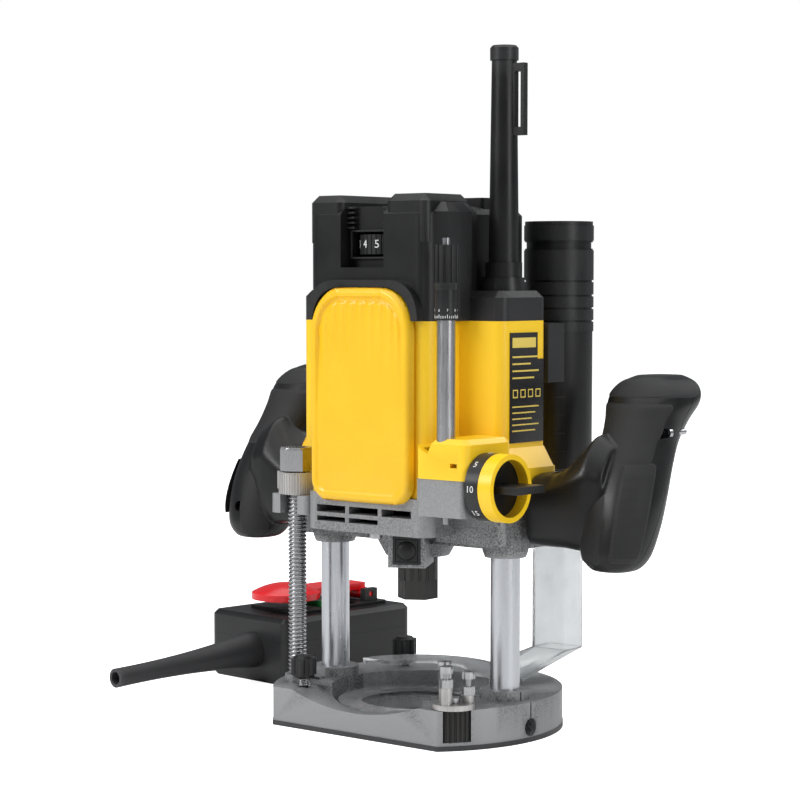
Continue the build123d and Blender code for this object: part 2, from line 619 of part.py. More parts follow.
def right_handle_rear():
    return handle_half(False, RIGHT_SCREWS) - trigger_pocket(0.5)


LEVER_Z0, LEVER_Z1 = 122.0, 157.0               # plunge lock lever on the left-hand grip
LEVER_FACE, LEVER_SPACE = -163.5, -160.8        # back of the lever, back of the room for it
LEVER_PIVOT_X, LEVER_PIVOT_Z = -158.0, 153.0    # it turns on a pin along Y


def lever_room():
    return block(-200, LEVER_SPACE, -40, 70, LEVER_Z0 - 1.4, LEVER_Z1 + 1.4)


def lever_cheeks():
    """Two cheeks inside the left-hand grip that hold the lever's pin."""
    cheeks = []
    for y0 in (22.6, 32.8):
        cheek = block(LEVER_SPACE, -153.0, y0, y0 + 3.0, 149.0, LEVER_Z1 + 1.4)
        cheek += block(-167.0, -153.0, y0, y0 + 3.0, LEVER_Z1 + 1.4, 166.0) & mirrored(grip_form(1.0))
        cheeks.append(cheek - rod_y(LEVER_PIVOT_X, 20, 40, LEVER_PIVOT_Z, 2.0 + FIT))
    return cheeks


def left_handle_half(front):
    """Mirror image of the right-hand half, opened for the lever and given its cheeks."""
    body = mirrored(handle_half(front, LEFT_SCREWS)) - lever_room()
    for cheek in lever_cheeks():
        body += split(cheek, SEAM, keep=Keep.BOTTOM if front else Keep.TOP)
    return body


def left_handle_front():
    return left_handle_half(True)


def left_handle_rear():
    return left_handle_half(False)


def plunge_lock_lever():
    """Lever on the outside of the left-hand grip, with its lug and pin inside."""
    skin = mirrored(grip_form(0)) & block(-200, LEVER_FACE, -40, 70, LEVER_Z0, LEVER_Z1)
    lug = block(-165.0, LEVER_PIVOT_X, 26.0, 32.4, LEVER_PIVOT_Z - 3.6, LEVER_PIVOT_Z + 3.6)
    lug += rod_y(LEVER_PIVOT_X, 26.0, 32.4, LEVER_PIVOT_Z, 3.6)
    return skin + lug + rod_y(LEVER_PIVOT_X, 22.8, 35.6, LEVER_PIVOT_Z, 2.0)


def case_screws():
    """Clamshell screws of both handles and the screws under the casting."""
    shapes = []
    for x, z in RIGHT_SCREWS + [(-x, z) for x, z in LEFT_SCREWS]:
        y = seam_y(z)
        shapes.append(rod_y(x, y - 8.0, y + 8.5, z, 1.9) + rod_y(x, y - 11.0, y - 8.05, z, 3.2))
    for x, y in UNDER_SCREWS:
        shapes.append(rod(x, y, 120.8, 128.4, 2.0) + rod(x, y, 120.8, 123.9, 3.8))
    return group(shapes)


# ---------------------------------------------------------------- depth rod and dial
def rack_cutter(z):
    """Trapezoid notch across the back of the rod."""
    root, mouth, deep = 0.45, 0.95, 1.9
    back = ROD_Y + RACK_LINE
    points = [(back + 1.2, z - mouth - 0.25), (back + 1.2, z + mouth + 0.25),
              (back - deep + 0.9, z + root), (back - deep + 0.9, z - root)]
    face = make_face(Polyline(*points, close=True))
    return Pos(ROD_X - 8, 0, 0) * extrude(Plane.YZ * face, 16)


def depth_rod():
    """Steel rod with a rack down its back and a small pin at each end."""
    body = rod(ROD_X, ROD_Y, 139.0, 254.0, ROD_R) + rod(ROD_X, ROD_Y, 134.5, 139.5, 1.8)
    body += rod(ROD_X, ROD_Y, 253.5, 302.0, 2.4)
    pitch = math.pi * MODULE
    first = DIAL_Z - 6 * pitch
    count = int((252.0 - first) / pitch)
    for i in range(count):
        body -= rack_cutter(first + i * pitch)
    return body


def rod_adjuster_knob():
    """Fine adjuster on the top of the rod."""
    x, y = ROD_X, ROD_Y
    body = rod(x, y, 254.3, 272.0, 6.6) + cone(x, y, 272.0, 276.0, 6.6, 7.2)
    body += knurl(x, y, 276.0, 298.0, 7.2, 12, 0.7)
    return body - rod(x, y, 250, 300, 2.4 + FIT)


def rack_pinion():
    """Slim-toothed pinion on the dial's shaft."""
    z0, z1 = ROD_X - 4.0, ROD_X + 4.0
    outer, root = PITCH_R + MODULE * 0.9, PITCH_R - MODULE * 1.35
    body = rod_x(z0, z1, DIAL_Y, DIAL_Z, root)
    step = 360.0 / PINION_TEETH
    for i in range(PINION_TEETH):
        points = [(root - 0.4, -0.75), (outer, -0.28), (outer, 0.28), (root - 0.4, 0.75)]
        tooth = extrude(Plane.YZ * make_face(Polyline(*points, close=True)), z1 - z0)
        body += Pos(z0, DIAL_Y, DIAL_Z) * Rot(i * step, 0, 0) * tooth
    return body


def rack_knob():
    """Yellow ring with its winged key, on the shaft of the rack pinion."""
    shaft = rod_x(58.0, 106.0, DIAL_Y, DIAL_Z, 3.0)
    ring = rod_x(98.3, 107.5, DIAL_Y, DIAL_Z, 20.0) - rod_x(100.3, 108.0, DIAL_Y, DIAL_Z, 16.8)
    key = block(100.0, 122.0, DIAL_Y - 13.0, DIAL_Y + 13.0, DIAL_Z - 2.2, DIAL_Z + 2.2)
    key &= rod_x(99.0, 130.0, DIAL_Y, DIAL_Z, 13.0)
    return shaft + ring + key + rack_pinion()


def depth_dial():
    """Black ring that carries the depth scale."""
    body = rod_x(88.6, 98.0, DIAL_Y, DIAL_Z, 20.0) - rod_x(88.0, 96.0, DIAL_Y, DIAL_Z, 16.5)
    return body - rod_x(80.0, 100.0, DIAL_Y, DIAL_Z, 3.0 + FIT)


def release_nut():
    """Quick-release nut that rides on the carriage fork."""
    x, y = SPINDLE_X, SPINDLE_Y
    body = knurl(x, y, 143.3, 157.0, 11.6, 40, 0.5)
    body += slab(x - 13.5, x - 4.0, y - 5.0, y + 5.0, 146.0, 157.0, 2.0)
    return body - rod(x, y, 140, 160, 5.8 + 0.9)


def speed_dial():
    """Thumb wheel that sets the motor speed."""
    wheel = knurl(-3.0, -27.0, 293.0, 305.0, 16.0, 30, 0.6)
    return wheel + rod(-3.0, -27.0, 286.6, 309.0, 2.5)


# ---------------------------------------------------------------- motor
def motor_stator():
    core = tube(0, 0, 165.0, 215.0, 39.0, 22.2)
    return core - [rod(x, y, 160, 220, 5.0) for x, y in ring_of(2, 30.0, 90)]


def field_coils():
    rings = []
    for z0, z1 in ((158.8, 164.8), (215.2, 221.2)):
        ring = tube(0, 0, z0, z1, 36.0, 25.0)
        ring -= block(-50, 50, -8, 8, z0 - 1, z1 + 1)
        rings.append(ring)
    return group(rings)


def armature_core():
    core = rod(0, 0, 167.0, 213.0, 21.4)
    core += cone(0, 0, 161.0, 167.0, 15.0, 20.0) + cone(0, 0, 213.0, 219.0, 20.0, 15.0)
    slots = [rod(x, y, 160, 220, 1.3) for x, y in ring_of(12, 21.4)]
    return core - slots - rod(0, 0, 150, 230, 6.0 + SEAT)


def commutator():
    ring = tube(0, 0, 222.0, 246.0, 13.5, 5.0 + SEAT)
    ring += tube(0, 0, 222.0, 224.0, 15.5, 5.0 + SEAT)
    slots = [Rot(0, 0, 15 * i) * block(12.4, 16, -0.25, 0.25, 221, 247) for i in range(24)]
    return ring - slots


def motor_shaft():
    shaft = rod(0, 0, 86.0, 112.4, 9.0) + rod(0, 0, 112.0, 148.0, 7.5)
    shaft += rod(0, 0, 148.0, 221.0, 6.0) + rod(0, 0, 221.0, 262.0, 5.0)
    shaft -= rod(0, 0, 80.0, 108.0, 7.9 + SEAT)
    flats = [Rot(0, 0, LOCK_ANGLE + 90 * i) * block(8.2, 12, -12, 12, 108.2, 112.5) for i in range(4)]
    return shaft - flats


def cooling_fan():
    body = rod(0, 0, 149.0, 151.0, 38.0) + rod(0, 0, 149.0, 158.0, 11.0)
    for i in range(14):
        blade = Rot(0, 0, i * 360 / 14) * Pos(24.0, 0, 154.0) * Rot(0, 0, 25) * Box(26, 1.6, 7.0)
        body += blade
    return body - rod(0, 0, 140, 160, 6.0 + SEAT)


def ball_bearing(z0, z1, bore, outer, ball_r, balls):
    middle, zc = (bore + outer) / 2, (z0 + z1) / 2
    inner_race = tube(0, 0, z0, z1, middle - ball_r * 0.75, bore)
    outer_race = tube(0, 0, z0, z1, outer, middle + ball_r * 0.75)
    groove = Pos(0, 0, zc) * Torus(middle, ball_r + 0.05)
    parts = [inner_race - groove, outer_race - groove]
    parts += [Pos(x, y, zc) * Sphere(ball_r) for x, y in ring_of(balls, middle)]
    return parts


def shaft_bearings():
    lower = ball_bearing(113.2, 124.2, 7.5 + FIT, 17.5, 3.0, 8)
    upper = ball_bearing(252.0, 260.0, 5.0 + FIT, 14.0, 2.4, 7)
    return group(lower + upper)


def brush_holders():
    return group([block(s, s + 22, -6, 6, 227.0, 241.0) - block(s - 1, s + 23, -4.1, 4.1, 229.0, 239.0)
                  for s in (14.5, -36.5)])


def carbon_brushes():
    return group(both_sides(block(13.8, 30.0, -3.9, 3.9, 229.2, 238.8)))


def electronics_module():
    board = block(-30, 30, 4, 40, 272.0, 274.0)
    return board + block(-20, 20, 10, 34, 273.9, 290.0) + block(-27, -22, 8, 30, 273.9, 284.0)


def collet():
    body = tube(0, 0, 81.0, 107.5, 7.9, 6.35)
    body -= [Rot(0, 0, a) * block(5, 9, -0.4, 0.4, 80, 102) for a in (0, 120, 240)]
    return body


def collet_nut():
    skirt = rod(0, 0, 91.0, 106.0, 12.6) - [rod(x, y, 90, 107, 0.9) for x, y in ring_of(16, 12.8)]
    nut = skirt + hexagon(0, 0, 79.0, 91.1, 22.0)
    nut -= rod(0, 0, 85.8, 108.0, 9.0 + SEAT)
    return nut - rod(0, 0, 78.0, 90.0, 7.9 + SEAT)


# ---------------------------------------------------------------- switch box
def switch_place(shape):
    """The box is drawn with its front right corner at the origin, then set down and turned."""
    return Pos(SWITCH_X, SWITCH_Y, 0) * Rot(0, 0, SWITCH_TURN) * shape


def switch_box_base():
    w, l = SWITCH_W, SWITCH_L
    body = slab(-w, 0, 0, l, 0, 30.0, 7.0)
    body = chamfer(body.faces().sort_by(Axis.Z)[0].edges(), 2.5)
    body -= slab(-w + 3, -3, 3, l - 3, 3.0, 31.0, 5.0)
    return switch_place(body - rod_y(BOOT_X, -1, 4, BOOT_ROOT_Z, 6.0 + SEAT))


def switch_box_lid():
    w, l = SWITCH_W, SWITCH_L
    body = slab(-w, 0, 0, l, 30.1, SWITCH_H, 7.0)
    body = chamfer(body.faces().sort_by(Axis.Z)[-1].edges(), 3.0)
    body += slab(-w + 14, -14, 24, l - 10, 40.0, 48.0, 4.0)
    body -= slab(-w + 3, -3, 3, l - 3, 29.0, 42.0, 5.0)
    body -= slab(-w + 18, -18, 50, 84, 41.0, 50.0, 3.0)
    ears = [block(x, x + 5, 92, 104, 47.0, 57.0) for x in (-62.0, -24.0)]
    body += ears
    body -= rod_x(-70, -10, 98.0, 53.0, 2.0 + FIT)
    return switch_place(body)


def strain_boot():
    """Tapered cord boot, hollow, with its root plugged into the box wall."""
    def ring(y, z, radius):
        return Plane((BOOT_X, y, z), x_dir=(1, 0, 0), z_dir=(0, -1, 0)) * Circle(radius)
    middle_z = BOOT_ROOT_Z - 0.25 * (BOOT_ROOT_Z - BOOT_TIP_Z)
    outer = loft([ring(-0.05, BOOT_ROOT_Z, 12.5), ring(-BOOT_L / 4, middle_z, 9.4),
                  ring(-BOOT_L, BOOT_TIP_Z, 6.4)])
    outer += rod_y(BOOT_X, -1.0, 7.0, BOOT_ROOT_Z, 6.0)
    slope = (0, -BOOT_L, BOOT_TIP_Z - BOOT_ROOT_Z)
    bore = Plane((BOOT_X, 0, BOOT_ROOT_Z), x_dir=(1, 0, 0), z_dir=slope) * Circle(BOOT_BORE)
    return switch_place(outer - extrude(bore, BOOT_L + 5) - extrude(bore, -9))


def stop_paddle():
    """Red stop paddle: a domed pad on an arm hinged at the back of the lid."""
    pad = Pos(-41.0, 36.0, 18.0) * Sphere(47.0)
    pad &= Pos(-41.0, 36.0, 60.0) * Cylinder(24.0, 12.0)
    skirt = Pos(-41.0, 36.0, 55.0) * Cylinder(17.0, 5.0)
    arm = slab(-54.0, -28.0, 44.0, 103.0, 55.5, 60.0, 4.0)
    knuckle = rod_x(-56.5, -25.5, 98.0, 53.0, 4.4)
    pin = rod_x(-61.0, -20.0, 98.0, 53.0, 2.0)
    return switch_place(pad + skirt + arm + knuckle + pin)


def start_button():
    return switch_place(slab(-52.0, -30.0, 58.0, 76.0, 42.4, 50.5, 3.0))


# ---------------------------------------------------------------- write the files
PARTS = [
    sole_plate, sole_screws, base_casting, guide_columns, plunge_springs, knob_springs,
    dust_shroud, dust_riser, base_bolts, turret_wheel,
    turret_stop_screws, turret_lock_nuts, height_spindle, spindle_head_nut,
    carriage_casting, spindle_fork, motor_housing, front_panel, top_cap, cord_tower,
    tower_cap, dust_tube,
    left_handle_front, left_handle_rear, right_handle_front, right_handle_rear, case_screws,
    rating_plate, dial_cover, motor_stator, field_coils, brush_holders, carbon_brushes,
    shaft_bearings, electronics_module, guide_bushes, spring_guide_pins, lock_bezel,
    motor_shaft, armature_core, commutator, cooling_fan, collet, collet_nut,
    spindle_lock_button, depth_rod, rod_adjuster_knob, depth_dial, rack_knob, release_nut,
    plunge_lock_lever, trigger, speed_dial, switch_box_base, switch_box_lid, strain_boot,
    stop_paddle, start_button,
]

os.makedirs("parts", exist_ok=True)
for make in PARTS:
    export_step(make(), f"parts/{make.__name__}.step")
export_step(fence_knob(-FENCE_Y), "parts/fence_knob_front.step")
export_step(fence_knob(FENCE_Y), "parts/fence_knob_rear.step")
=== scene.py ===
import json
import math

import bmesh
import bpy
from mathutils import Matrix, Vector


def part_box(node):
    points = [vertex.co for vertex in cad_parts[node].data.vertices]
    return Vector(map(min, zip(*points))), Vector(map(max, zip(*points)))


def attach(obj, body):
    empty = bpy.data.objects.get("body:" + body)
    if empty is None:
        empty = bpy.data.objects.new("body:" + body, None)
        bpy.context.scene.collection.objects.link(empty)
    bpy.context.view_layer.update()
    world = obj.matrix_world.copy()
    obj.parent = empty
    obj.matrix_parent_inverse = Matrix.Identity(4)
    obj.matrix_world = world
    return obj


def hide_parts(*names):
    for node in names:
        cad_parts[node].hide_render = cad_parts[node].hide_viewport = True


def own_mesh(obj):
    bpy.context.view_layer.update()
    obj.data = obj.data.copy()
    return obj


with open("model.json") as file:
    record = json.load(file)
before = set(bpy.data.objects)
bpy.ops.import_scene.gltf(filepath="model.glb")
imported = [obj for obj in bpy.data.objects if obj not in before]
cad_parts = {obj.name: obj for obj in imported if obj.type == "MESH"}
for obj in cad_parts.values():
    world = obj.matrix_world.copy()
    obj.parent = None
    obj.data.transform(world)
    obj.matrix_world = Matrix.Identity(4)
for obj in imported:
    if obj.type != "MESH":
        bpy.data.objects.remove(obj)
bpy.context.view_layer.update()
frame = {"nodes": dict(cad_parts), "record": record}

NODES = frame["nodes"]
MM = 0.001

# ---------------------------------------------------------------- looks
YELLOW = (1.0, 0.575, 0.012)
BLACK = (0.0075, 0.0076, 0.008)
CAST = (0.205, 0.208, 0.212)
RED = (0.78, 0.006, 0.012)
WHITE = (0.80, 0.80, 0.80)


def nodes_of(name):
    """A new material with its node tree, shader and object coordinates."""
    mat = bpy.data.materials.new(name)
    mat.use_nodes = True
    tree = mat.node_tree
    shader = tree.nodes["Principled BSDF"]
    place = tree.nodes.new("ShaderNodeTexCoord")
    return mat, tree, shader, place.outputs["Object"]


def noise_of(tree, place, scale, detail=3.0, stretch=None):
    """Noise in object space, in cycles per metre, stretched along an axis if asked."""
    source = place
    if stretch:
        mapping = tree.nodes.new("ShaderNodeMapping")
        mapping.inputs["Scale"].default_value = stretch
        tree.links.new(place, mapping.inputs["Vector"])
        source = mapping.outputs["Vector"]
    noise = tree.nodes.new("ShaderNodeTexNoise")
    noise.inputs["Scale"].default_value = scale
    noise.inputs["Detail"].default_value = detail
    tree.links.new(source, noise.inputs["Vector"])
    return noise.outputs["Fac"]


def ramp_of(tree, value, low, high, dark, light):
    """Maps a value between low and high to a colour between dark and light."""
    ramp = tree.nodes.new("ShaderNodeValToRGB")
    ramp.color_ramp.elements[0].position = low
    ramp.color_ramp.elements[1].position = high
    ramp.color_ramp.elements[0].color = (*dark, 1)
    ramp.color_ramp.elements[1].color = (*light, 1)
    tree.links.new(value, ramp.inputs["Fac"])
    return ramp.outputs["Color"]


def range_of(tree, value, low, high, from_low=0.3, from_high=0.7):
    spread = tree.nodes.new("ShaderNodeMapRange")
    spread.inputs["From Min"].default_value = from_low
    spread.inputs["From Max"].default_value = from_high
    spread.inputs["To Min"].default_value = low
    spread.inputs["To Max"].default_value = high
    tree.links.new(value, spread.inputs["Value"])
    return spread.outputs["Result"]


def mixed(tree, factor, first, second):
    mix = tree.nodes.new("ShaderNodeMix")
    mix.data_type = "RGBA"
    tree.links.new(factor, mix.inputs["Factor"])
    for socket, source in (("A", first), ("B", second)):
        slot = [s for s in mix.inputs if s.name == socket and s.type == "RGBA"][0]
        if isinstance(source, tuple):
            slot.default_value = (*source, 1)
        else:
            tree.links.new(source, slot)
    return [s for s in mix.outputs if s.type == "RGBA"][0]


def bumped(tree, shader, heights):
    """Chains bumps on the shader's normal; heights are (value, strength, distance in mm)."""
    normal = None
    for value, strength, distance in heights:
        bump = tree.nodes.new("ShaderNodeBump")
        bump.inputs["Strength"].default_value = strength
        bump.inputs["Distance"].default_value = distance * MM
        tree.links.new(value, bump.inputs["Height"])
        if normal:
            tree.links.new(normal, bump.inputs["Normal"])
        normal = bump.outputs["Normal"]
    tree.links.new(normal, shader.inputs["Normal"])


def edges_of(tree, low=0.51, high=0.60):
    """High on outer edges, from the surface's pointiness: a painted edge highlight, partly also wear."""
    geometry = tree.nodes.new("ShaderNodeNewGeometry")
    return range_of(tree, geometry.outputs["Pointiness"], 0.0, 1.0, low, high)


def scaled(color, factor):
    return tuple(min(1.0, c * factor) for c in color)


def moulded(name, color, rough=(0.34, 0.46), grain=1400, depth=0.10, edge=1.25, cloud=0.10,
            gloss=0.5):
    """Moulded plastic: eroded grain, faint flow clouds, patchy sheen, and paler outer edges that are a
    painted edge highlight, partly also wear.
    """
    mat, tree, shader, place = nodes_of(name)
    clouds = noise_of(tree, place, 28, 4)
    tone = ramp_of(tree, clouds, 0.3, 0.7, scaled(color, 1 - cloud), scaled(color, 1 + cloud))
    speck = noise_of(tree, place, grain, 2)
    fleck = ramp_of(tree, speck, 0.25, 0.8, (0.93, 0.93, 0.93), (1.0, 1.0, 1.0))
    blend = tree.nodes.new("ShaderNodeMix")
    blend.data_type = "RGBA"
    blend.blend_type = "MULTIPLY"
    blend.inputs["Factor"].default_value = 1.0
    colors = [s for s in blend.inputs if s.type == "RGBA"]
    tree.links.new(tone, colors[0])
    tree.links.new(fleck, colors[1])
    grained = [s for s in blend.outputs if s.type == "RGBA"][0]
    # outer edges painted paler: painted edge highlight, partly also wear
    highlit_worn_edges = mixed(tree, edges_of(tree), grained, tuple(min(1.0, c * edge + 0.004) for c in color))
    tree.links.new(highlit_worn_edges, shader.inputs["Base Color"])
    shader.inputs["Specular IOR Level"].default_value = gloss
    tree.links.new(range_of(tree, clouds, *rough), shader.inputs["Roughness"])
    bumped(tree, shader, [(speck, 0.35, depth), (clouds, 0.12, 0.25)])
    return mat


def cast_metal(name, color):
    """Die casting under a hammered silver finish: bright and dark flecks over a matt skin."""
    mat, tree, shader, place = nodes_of(name)
    flecks = noise_of(tree, place, 900, 4)
    clouds = noise_of(tree, place, 40, 3)
    tone = ramp_of(tree, flecks, 0.36, 0.64, scaled(color, 0.50), scaled(color, 1.60))
    # outer edges painted brighter: painted edge highlight, partly also wear
    highlit_worn_edges = mixed(tree, edges_of(tree, 0.52, 0.64), tone, scaled(color, 1.7))
    tree.links.new(highlit_worn_edges, shader.inputs["Base Color"])
    shader.inputs["Metallic"].default_value = 0.55
    tree.links.new(range_of(tree, flecks, 0.42, 0.60), shader.inputs["Roughness"])
    bumped(tree, shader, [(flecks, 0.55, 0.35), (clouds, 0.15, 0.5)])
    return mat


def bare_metal(name, color, rough=(0.22, 0.36), stretch=(1, 1, 0.06), scale=900, strength=0.12):
    """Turned or ground metal with fine tool lines, faint stains, and bright edges that are a painted edge
    highlight, partly also wear.
    """
    mat, tree, shader, place = nodes_of(name)
    lines = noise_of(tree, place, scale, 3, stretch)
    stains = noise_of(tree, place, 60, 4)
    tone = ramp_of(tree, stains, 0.25, 0.75, scaled(color, 0.82), scaled(color, 1.08))
    # outer edges painted brighter: painted edge highlight, partly also wear
    highlit_worn_edges = mixed(tree, edges_of(tree), tone, scaled(color, 1.35))
    tree.links.new(highlit_worn_edges, shader.inputs["Base Color"])
    shader.inputs["Metallic"].default_value = 1.0
    tree.links.new(range_of(tree, lines, *rough), shader.inputs["Roughness"])
    bumped(tree, shader, [(lines, strength, 0.08)])
    return mat


def clear_plastic(name):
    """Clear moulded hood with faint flow haze and small rub marks."""
    mat, tree, shader, place = nodes_of(name)
    haze = noise_of(tree, place, 70, 4)
    scuffs = noise_of(tree, place, 700, 2, (1, 1, 0.15))
    tone = ramp_of(tree, haze, 0.3, 0.7, (0.86, 0.88, 0.89), (0.96, 0.97, 0.98))
    tree.links.new(tone, shader.inputs["Base Color"])
    shader.inputs["Transmission Weight"].default_value = 0.88
    shader.inputs["IOR"].default_value = 1.22
    tree.links.new(range_of(tree, haze, 0.10, 0.22), shader.inputs["Roughness"])
    bumped(tree, shader, [(scuffs, 0.06, 0.05), (haze, 0.10, 0.4)])
    return mat


# The edge factor of each moulded look sets how much paler its outer edges are painted: painted edge
# highlight, partly also wear.
LOOKS = {
    "yellow_shell": moulded("yellow_moulding", YELLOW, rough=(0.28, 0.38), grain=1100, depth=0.05,
                            edge=1.10, cloud=0.04),
    "black_plastic": moulded("black_moulding", BLACK, rough=(0.30, 0.42), edge=2.6, cloud=0.18,
                             gloss=0.32),
    "grip_rubber": moulded("grip_rubber", (0.016, 0.016, 0.017), rough=(0.55, 0.70), grain=800, depth=0.3,
                           edge=1.8, cloud=0.15, gloss=0.35),
    "cast_aluminium": cast_metal("hammered_casting", CAST),
    "chrome_steel": bare_metal("hard_chrome", (0.40, 0.41, 0.43), rough=(0.26, 0.34), strength=0.05),
    "steel": bare_metal("zinc_plated_steel", (0.34, 0.34, 0.35)),
    "zinc_casting": bare_metal("tumbled_zinc", (0.42, 0.41, 0.40), rough=(0.34, 0.48), stretch=None,
                               scale=700, strength=0.25),
    "rubber_boot": moulded("boot_rubber", (0.020, 0.020, 0.022), rough=(0.50, 0.66), grain=900, depth=0.12,
                           edge=1.8),
    "clear_plastic": clear_plastic("clear_moulding"),
    "red_plastic": moulded("red_moulding", RED, rough=(0.22, 0.32), grain=1200, depth=0.04, edge=1.15,
                           cloud=0.05),
    "green_plastic": moulded("green_moulding", (0.02, 0.30, 0.06), rough=(0.25, 0.35), grain=1200,
                             depth=0.04),
    "black_steel": bare_metal("blackened_steel", (0.045, 0.044, 0.043), rough=(0.32, 0.46), strength=0.2),
    "sole_plastic": moulded("sole_sheet", (0.028, 0.028, 0.030), rough=(0.32, 0.48), grain=600),
    "label": moulded("label_film", (0.012, 0.012, 0.013), rough=(0.22, 0.30), grain=1800, depth=0.02),
    "label_print": moulded("label_print", (0.62, 0.47, 0.09), rough=(0.30, 0.42), grain=1800, depth=0.02),
    "white_print": moulded("white_print", WHITE, rough=(0.40, 0.50), grain=1800, depth=0.02, edge=1.0),
    "lamination": bare_metal("laminated_steel", (0.22, 0.22, 0.23), stretch=(0.1, 0.1, 6),
                             strength=0.5),
    "copper": bare_metal("enamelled_copper", (0.62, 0.25, 0.10), rough=(0.30, 0.42)),
    "bronze": bare_metal("sintered_bronze", (0.50, 0.33, 0.14), rough=(0.35, 0.5)),
    "brush_carbon": moulded("pressed_carbon", (0.02, 0.02, 0.021), rough=(0.55, 0.7)),
    "board": moulded("circuit_board", (0.02, 0.12, 0.05), rough=(0.35, 0.5)),
}

SLOT_OF = {row["node"]: row["material_slot"] for row in frame["record"]["subparts"]}


def dress(piece, look):
    """Gives a piece one look in all its material slots."""
    piece.data.materials.clear()
    piece.data.materials.append(LOOKS[look])


def soften(piece, width, segments=2, angle=32):
    """Rounds sharp edges a little, so that they catch light, and smooths the shading."""
    for polygon in piece.data.polygons:
        polygon.use_smooth = True
    piece.data.set_sharp_from_angle(angle=math.radians(angle))
    if width:
        bevel = piece.modifiers.new("edges", "BEVEL")
        bevel.width = width * MM
        bevel.segments = segments
        bevel.limit_method = "ANGLE"
        bevel.angle_limit = math.radians(angle)
        bevel.use_clamp_overlap = True
        bevel.harden_normals = True


EDGE_WIDTH = {
    "motor_housing": 1.1, "top_cap": 1.0, "carriage_casting": 0.8, "base_casting": 0.8, "dial_cover": 0.9,
    "switch_box_base": 0.8, "switch_box_lid": 0.7, "stop_paddle": 0.7, "rack_knob": 0.5, "depth_dial": 0.4,
    "cord_tower": 0.5, "dust_tube": 0.4, "tower_cap": 0.5, "spindle_head_nut": 0.5, "release_nut": 0.2,
    "fence_knob_front": 0.4, "fence_knob_rear": 0.4, "collet_nut": 0.3, "turret_wheel": 0.25,
    "start_button": 0.5, "lock_bezel": 0.4, "spindle_lock_button": 0.6, "sole_plate": 0.4,
    "turret_lock_nuts": 0.3, "turret_stop_screws": 0.3, "rod_adjuster_knob": 0.2, "dust_shroud": 0.3,
    "dust_riser": 0.3, "depth_rod": 0.2, "speed_dial": 0.2, "base_bolts": 0.3, "plunge_lock_lever": 0.5,
    "trigger": 0.8, "spindle_fork": 0.6,
}
LOOK_OF = {"fence_knob_front": "black_plastic", "fence_knob_rear": "black_plastic",
           "collet_nut": "black_steel", "release_nut": "zinc_casting", "lock_bezel": "black_plastic"}


def finish_cad_nodes():
    for name, node in NODES.items():
        dress(node, LOOK_OF.get(name, SLOT_OF[name]))
        soften(node, EDGE_WIDTH.get(name, 0))


def repaint(name, look, wanted):
    """Gives the faces of a CAD node that pass a test, by their middle in mm, another look."""
    node = NODES[name]
    node.data.materials.append(LOOKS[look])
    index = len(node.data.materials) - 1
    for polygon in node.data.polygons:
        if wanted(polygon.center / MM):
            polygon.material_index = index


def two_tone_nodes():
    """Black face and steel shaft on the rack knob; bright top and dark foot on the turret."""
    low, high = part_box("rack_knob")
    cy, cz = (low.y + high.y) / 2 / MM, (low.z + high.z) / 2 / MM
    rim_radius = 16.7
    shaft_end = 98.2
    turret_step = 24.2
    repaint("rack_knob", "black_plastic",
            lambda p: p.x > shaft_end and math.hypot(p.y - cy, p.z - cz) < rim_radius)
    repaint("rack_knob", "steel", lambda p: p.x < shaft_end)
    repaint("turret_wheel", "zinc_casting", lambda p: p.z > turret_step)
    repaint("turret_wheel", "black_steel", lambda p: p.z <= turret_step)


finish_cad_nodes()
two_tone_nodes()

# ---------------------------------------------------------------- mesh helpers
def new_piece(name, mesh, look, body, *replaced):
    """Links a mesh as a piece that rides on a body and stands for the named CAD nodes."""
    piece = bpy.data.objects.new(name, mesh)
    bpy.context.scene.collection.objects.link(piece)
    dress(piece, look)
    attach(piece, body)
    if replaced:
        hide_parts(*replaced)
    return piece


def skin(name, rings, joined=False):
    """Mesh through rings of points in mm; the ends are filled, or joined to each other."""
    mesh = bpy.data.meshes.new(name)
    count = len(rings[0])
    points = [tuple(c * MM for c in p) for ring in rings for p in ring]
    faces = []
    for i in range(len(rings) if joined else len(rings) - 1):
        low, high = i * count, (i + 1) % len(rings) * count
        for j in range(count):
            k = (j + 1) % count
            faces.append((low + j, low + k, high + k, high + j))
    if not joined:
        faces.append(tuple(range(count))[::-1])
        faces.append(tuple((len(rings) - 1) * count + j for j in range(count)))
    mesh.from_pydata(points, [], faces)
    mesh.validate()
    return outward(mesh)


def circle(count, radius, phase=0.0):
    angles = [2 * math.pi * (i + phase) / count for i in range(count)]
    return [(radius * math.cos(a), radius * math.sin(a)) for a in angles]


def box_mesh(name, boxes):
    """One mesh of several boxes, each (x0, x1, y0, y1, z0, z1) in mm."""
    form = bmesh.new()
    for x0, x1, y0, y1, z0, z1 in boxes:
        middle = Vector(((x0 + x1) / 2, (y0 + y1) / 2, (z0 + z1) / 2)) * MM
        size = Matrix.Diagonal(((x1 - x0) * MM, (y1 - y0) * MM, (z1 - z0) * MM, 1))
        bmesh.ops.create_cube(form, size=1.0, matrix=Matrix.Translation(middle) @ size)
    mesh = bpy.data.meshes.new(name)
    form.to_mesh(mesh)
    form.free()
    return mesh


def settled(piece):
    """The piece's mesh with its modifiers applied; the piece itself is removed."""
    graph = bpy.context.evaluated_depsgraph_get()
    mesh = bpy.data.meshes.new_from_object(piece.evaluated_get(graph))
    bpy.data.objects.remove(piece)
    return mesh


def loose(mesh):
    """A plain object for a mesh that is still being made."""
    piece = bpy.data.objects.new("draft", mesh)
    bpy.context.scene.collection.objects.link(piece)
    return piece


def joined_mesh(name, meshes):
    form = bmesh.new()
    for mesh in meshes:
        form.from_mesh(mesh)
    result = bpy.data.meshes.new(name)
    form.to_mesh(result)
    form.free()
    return result


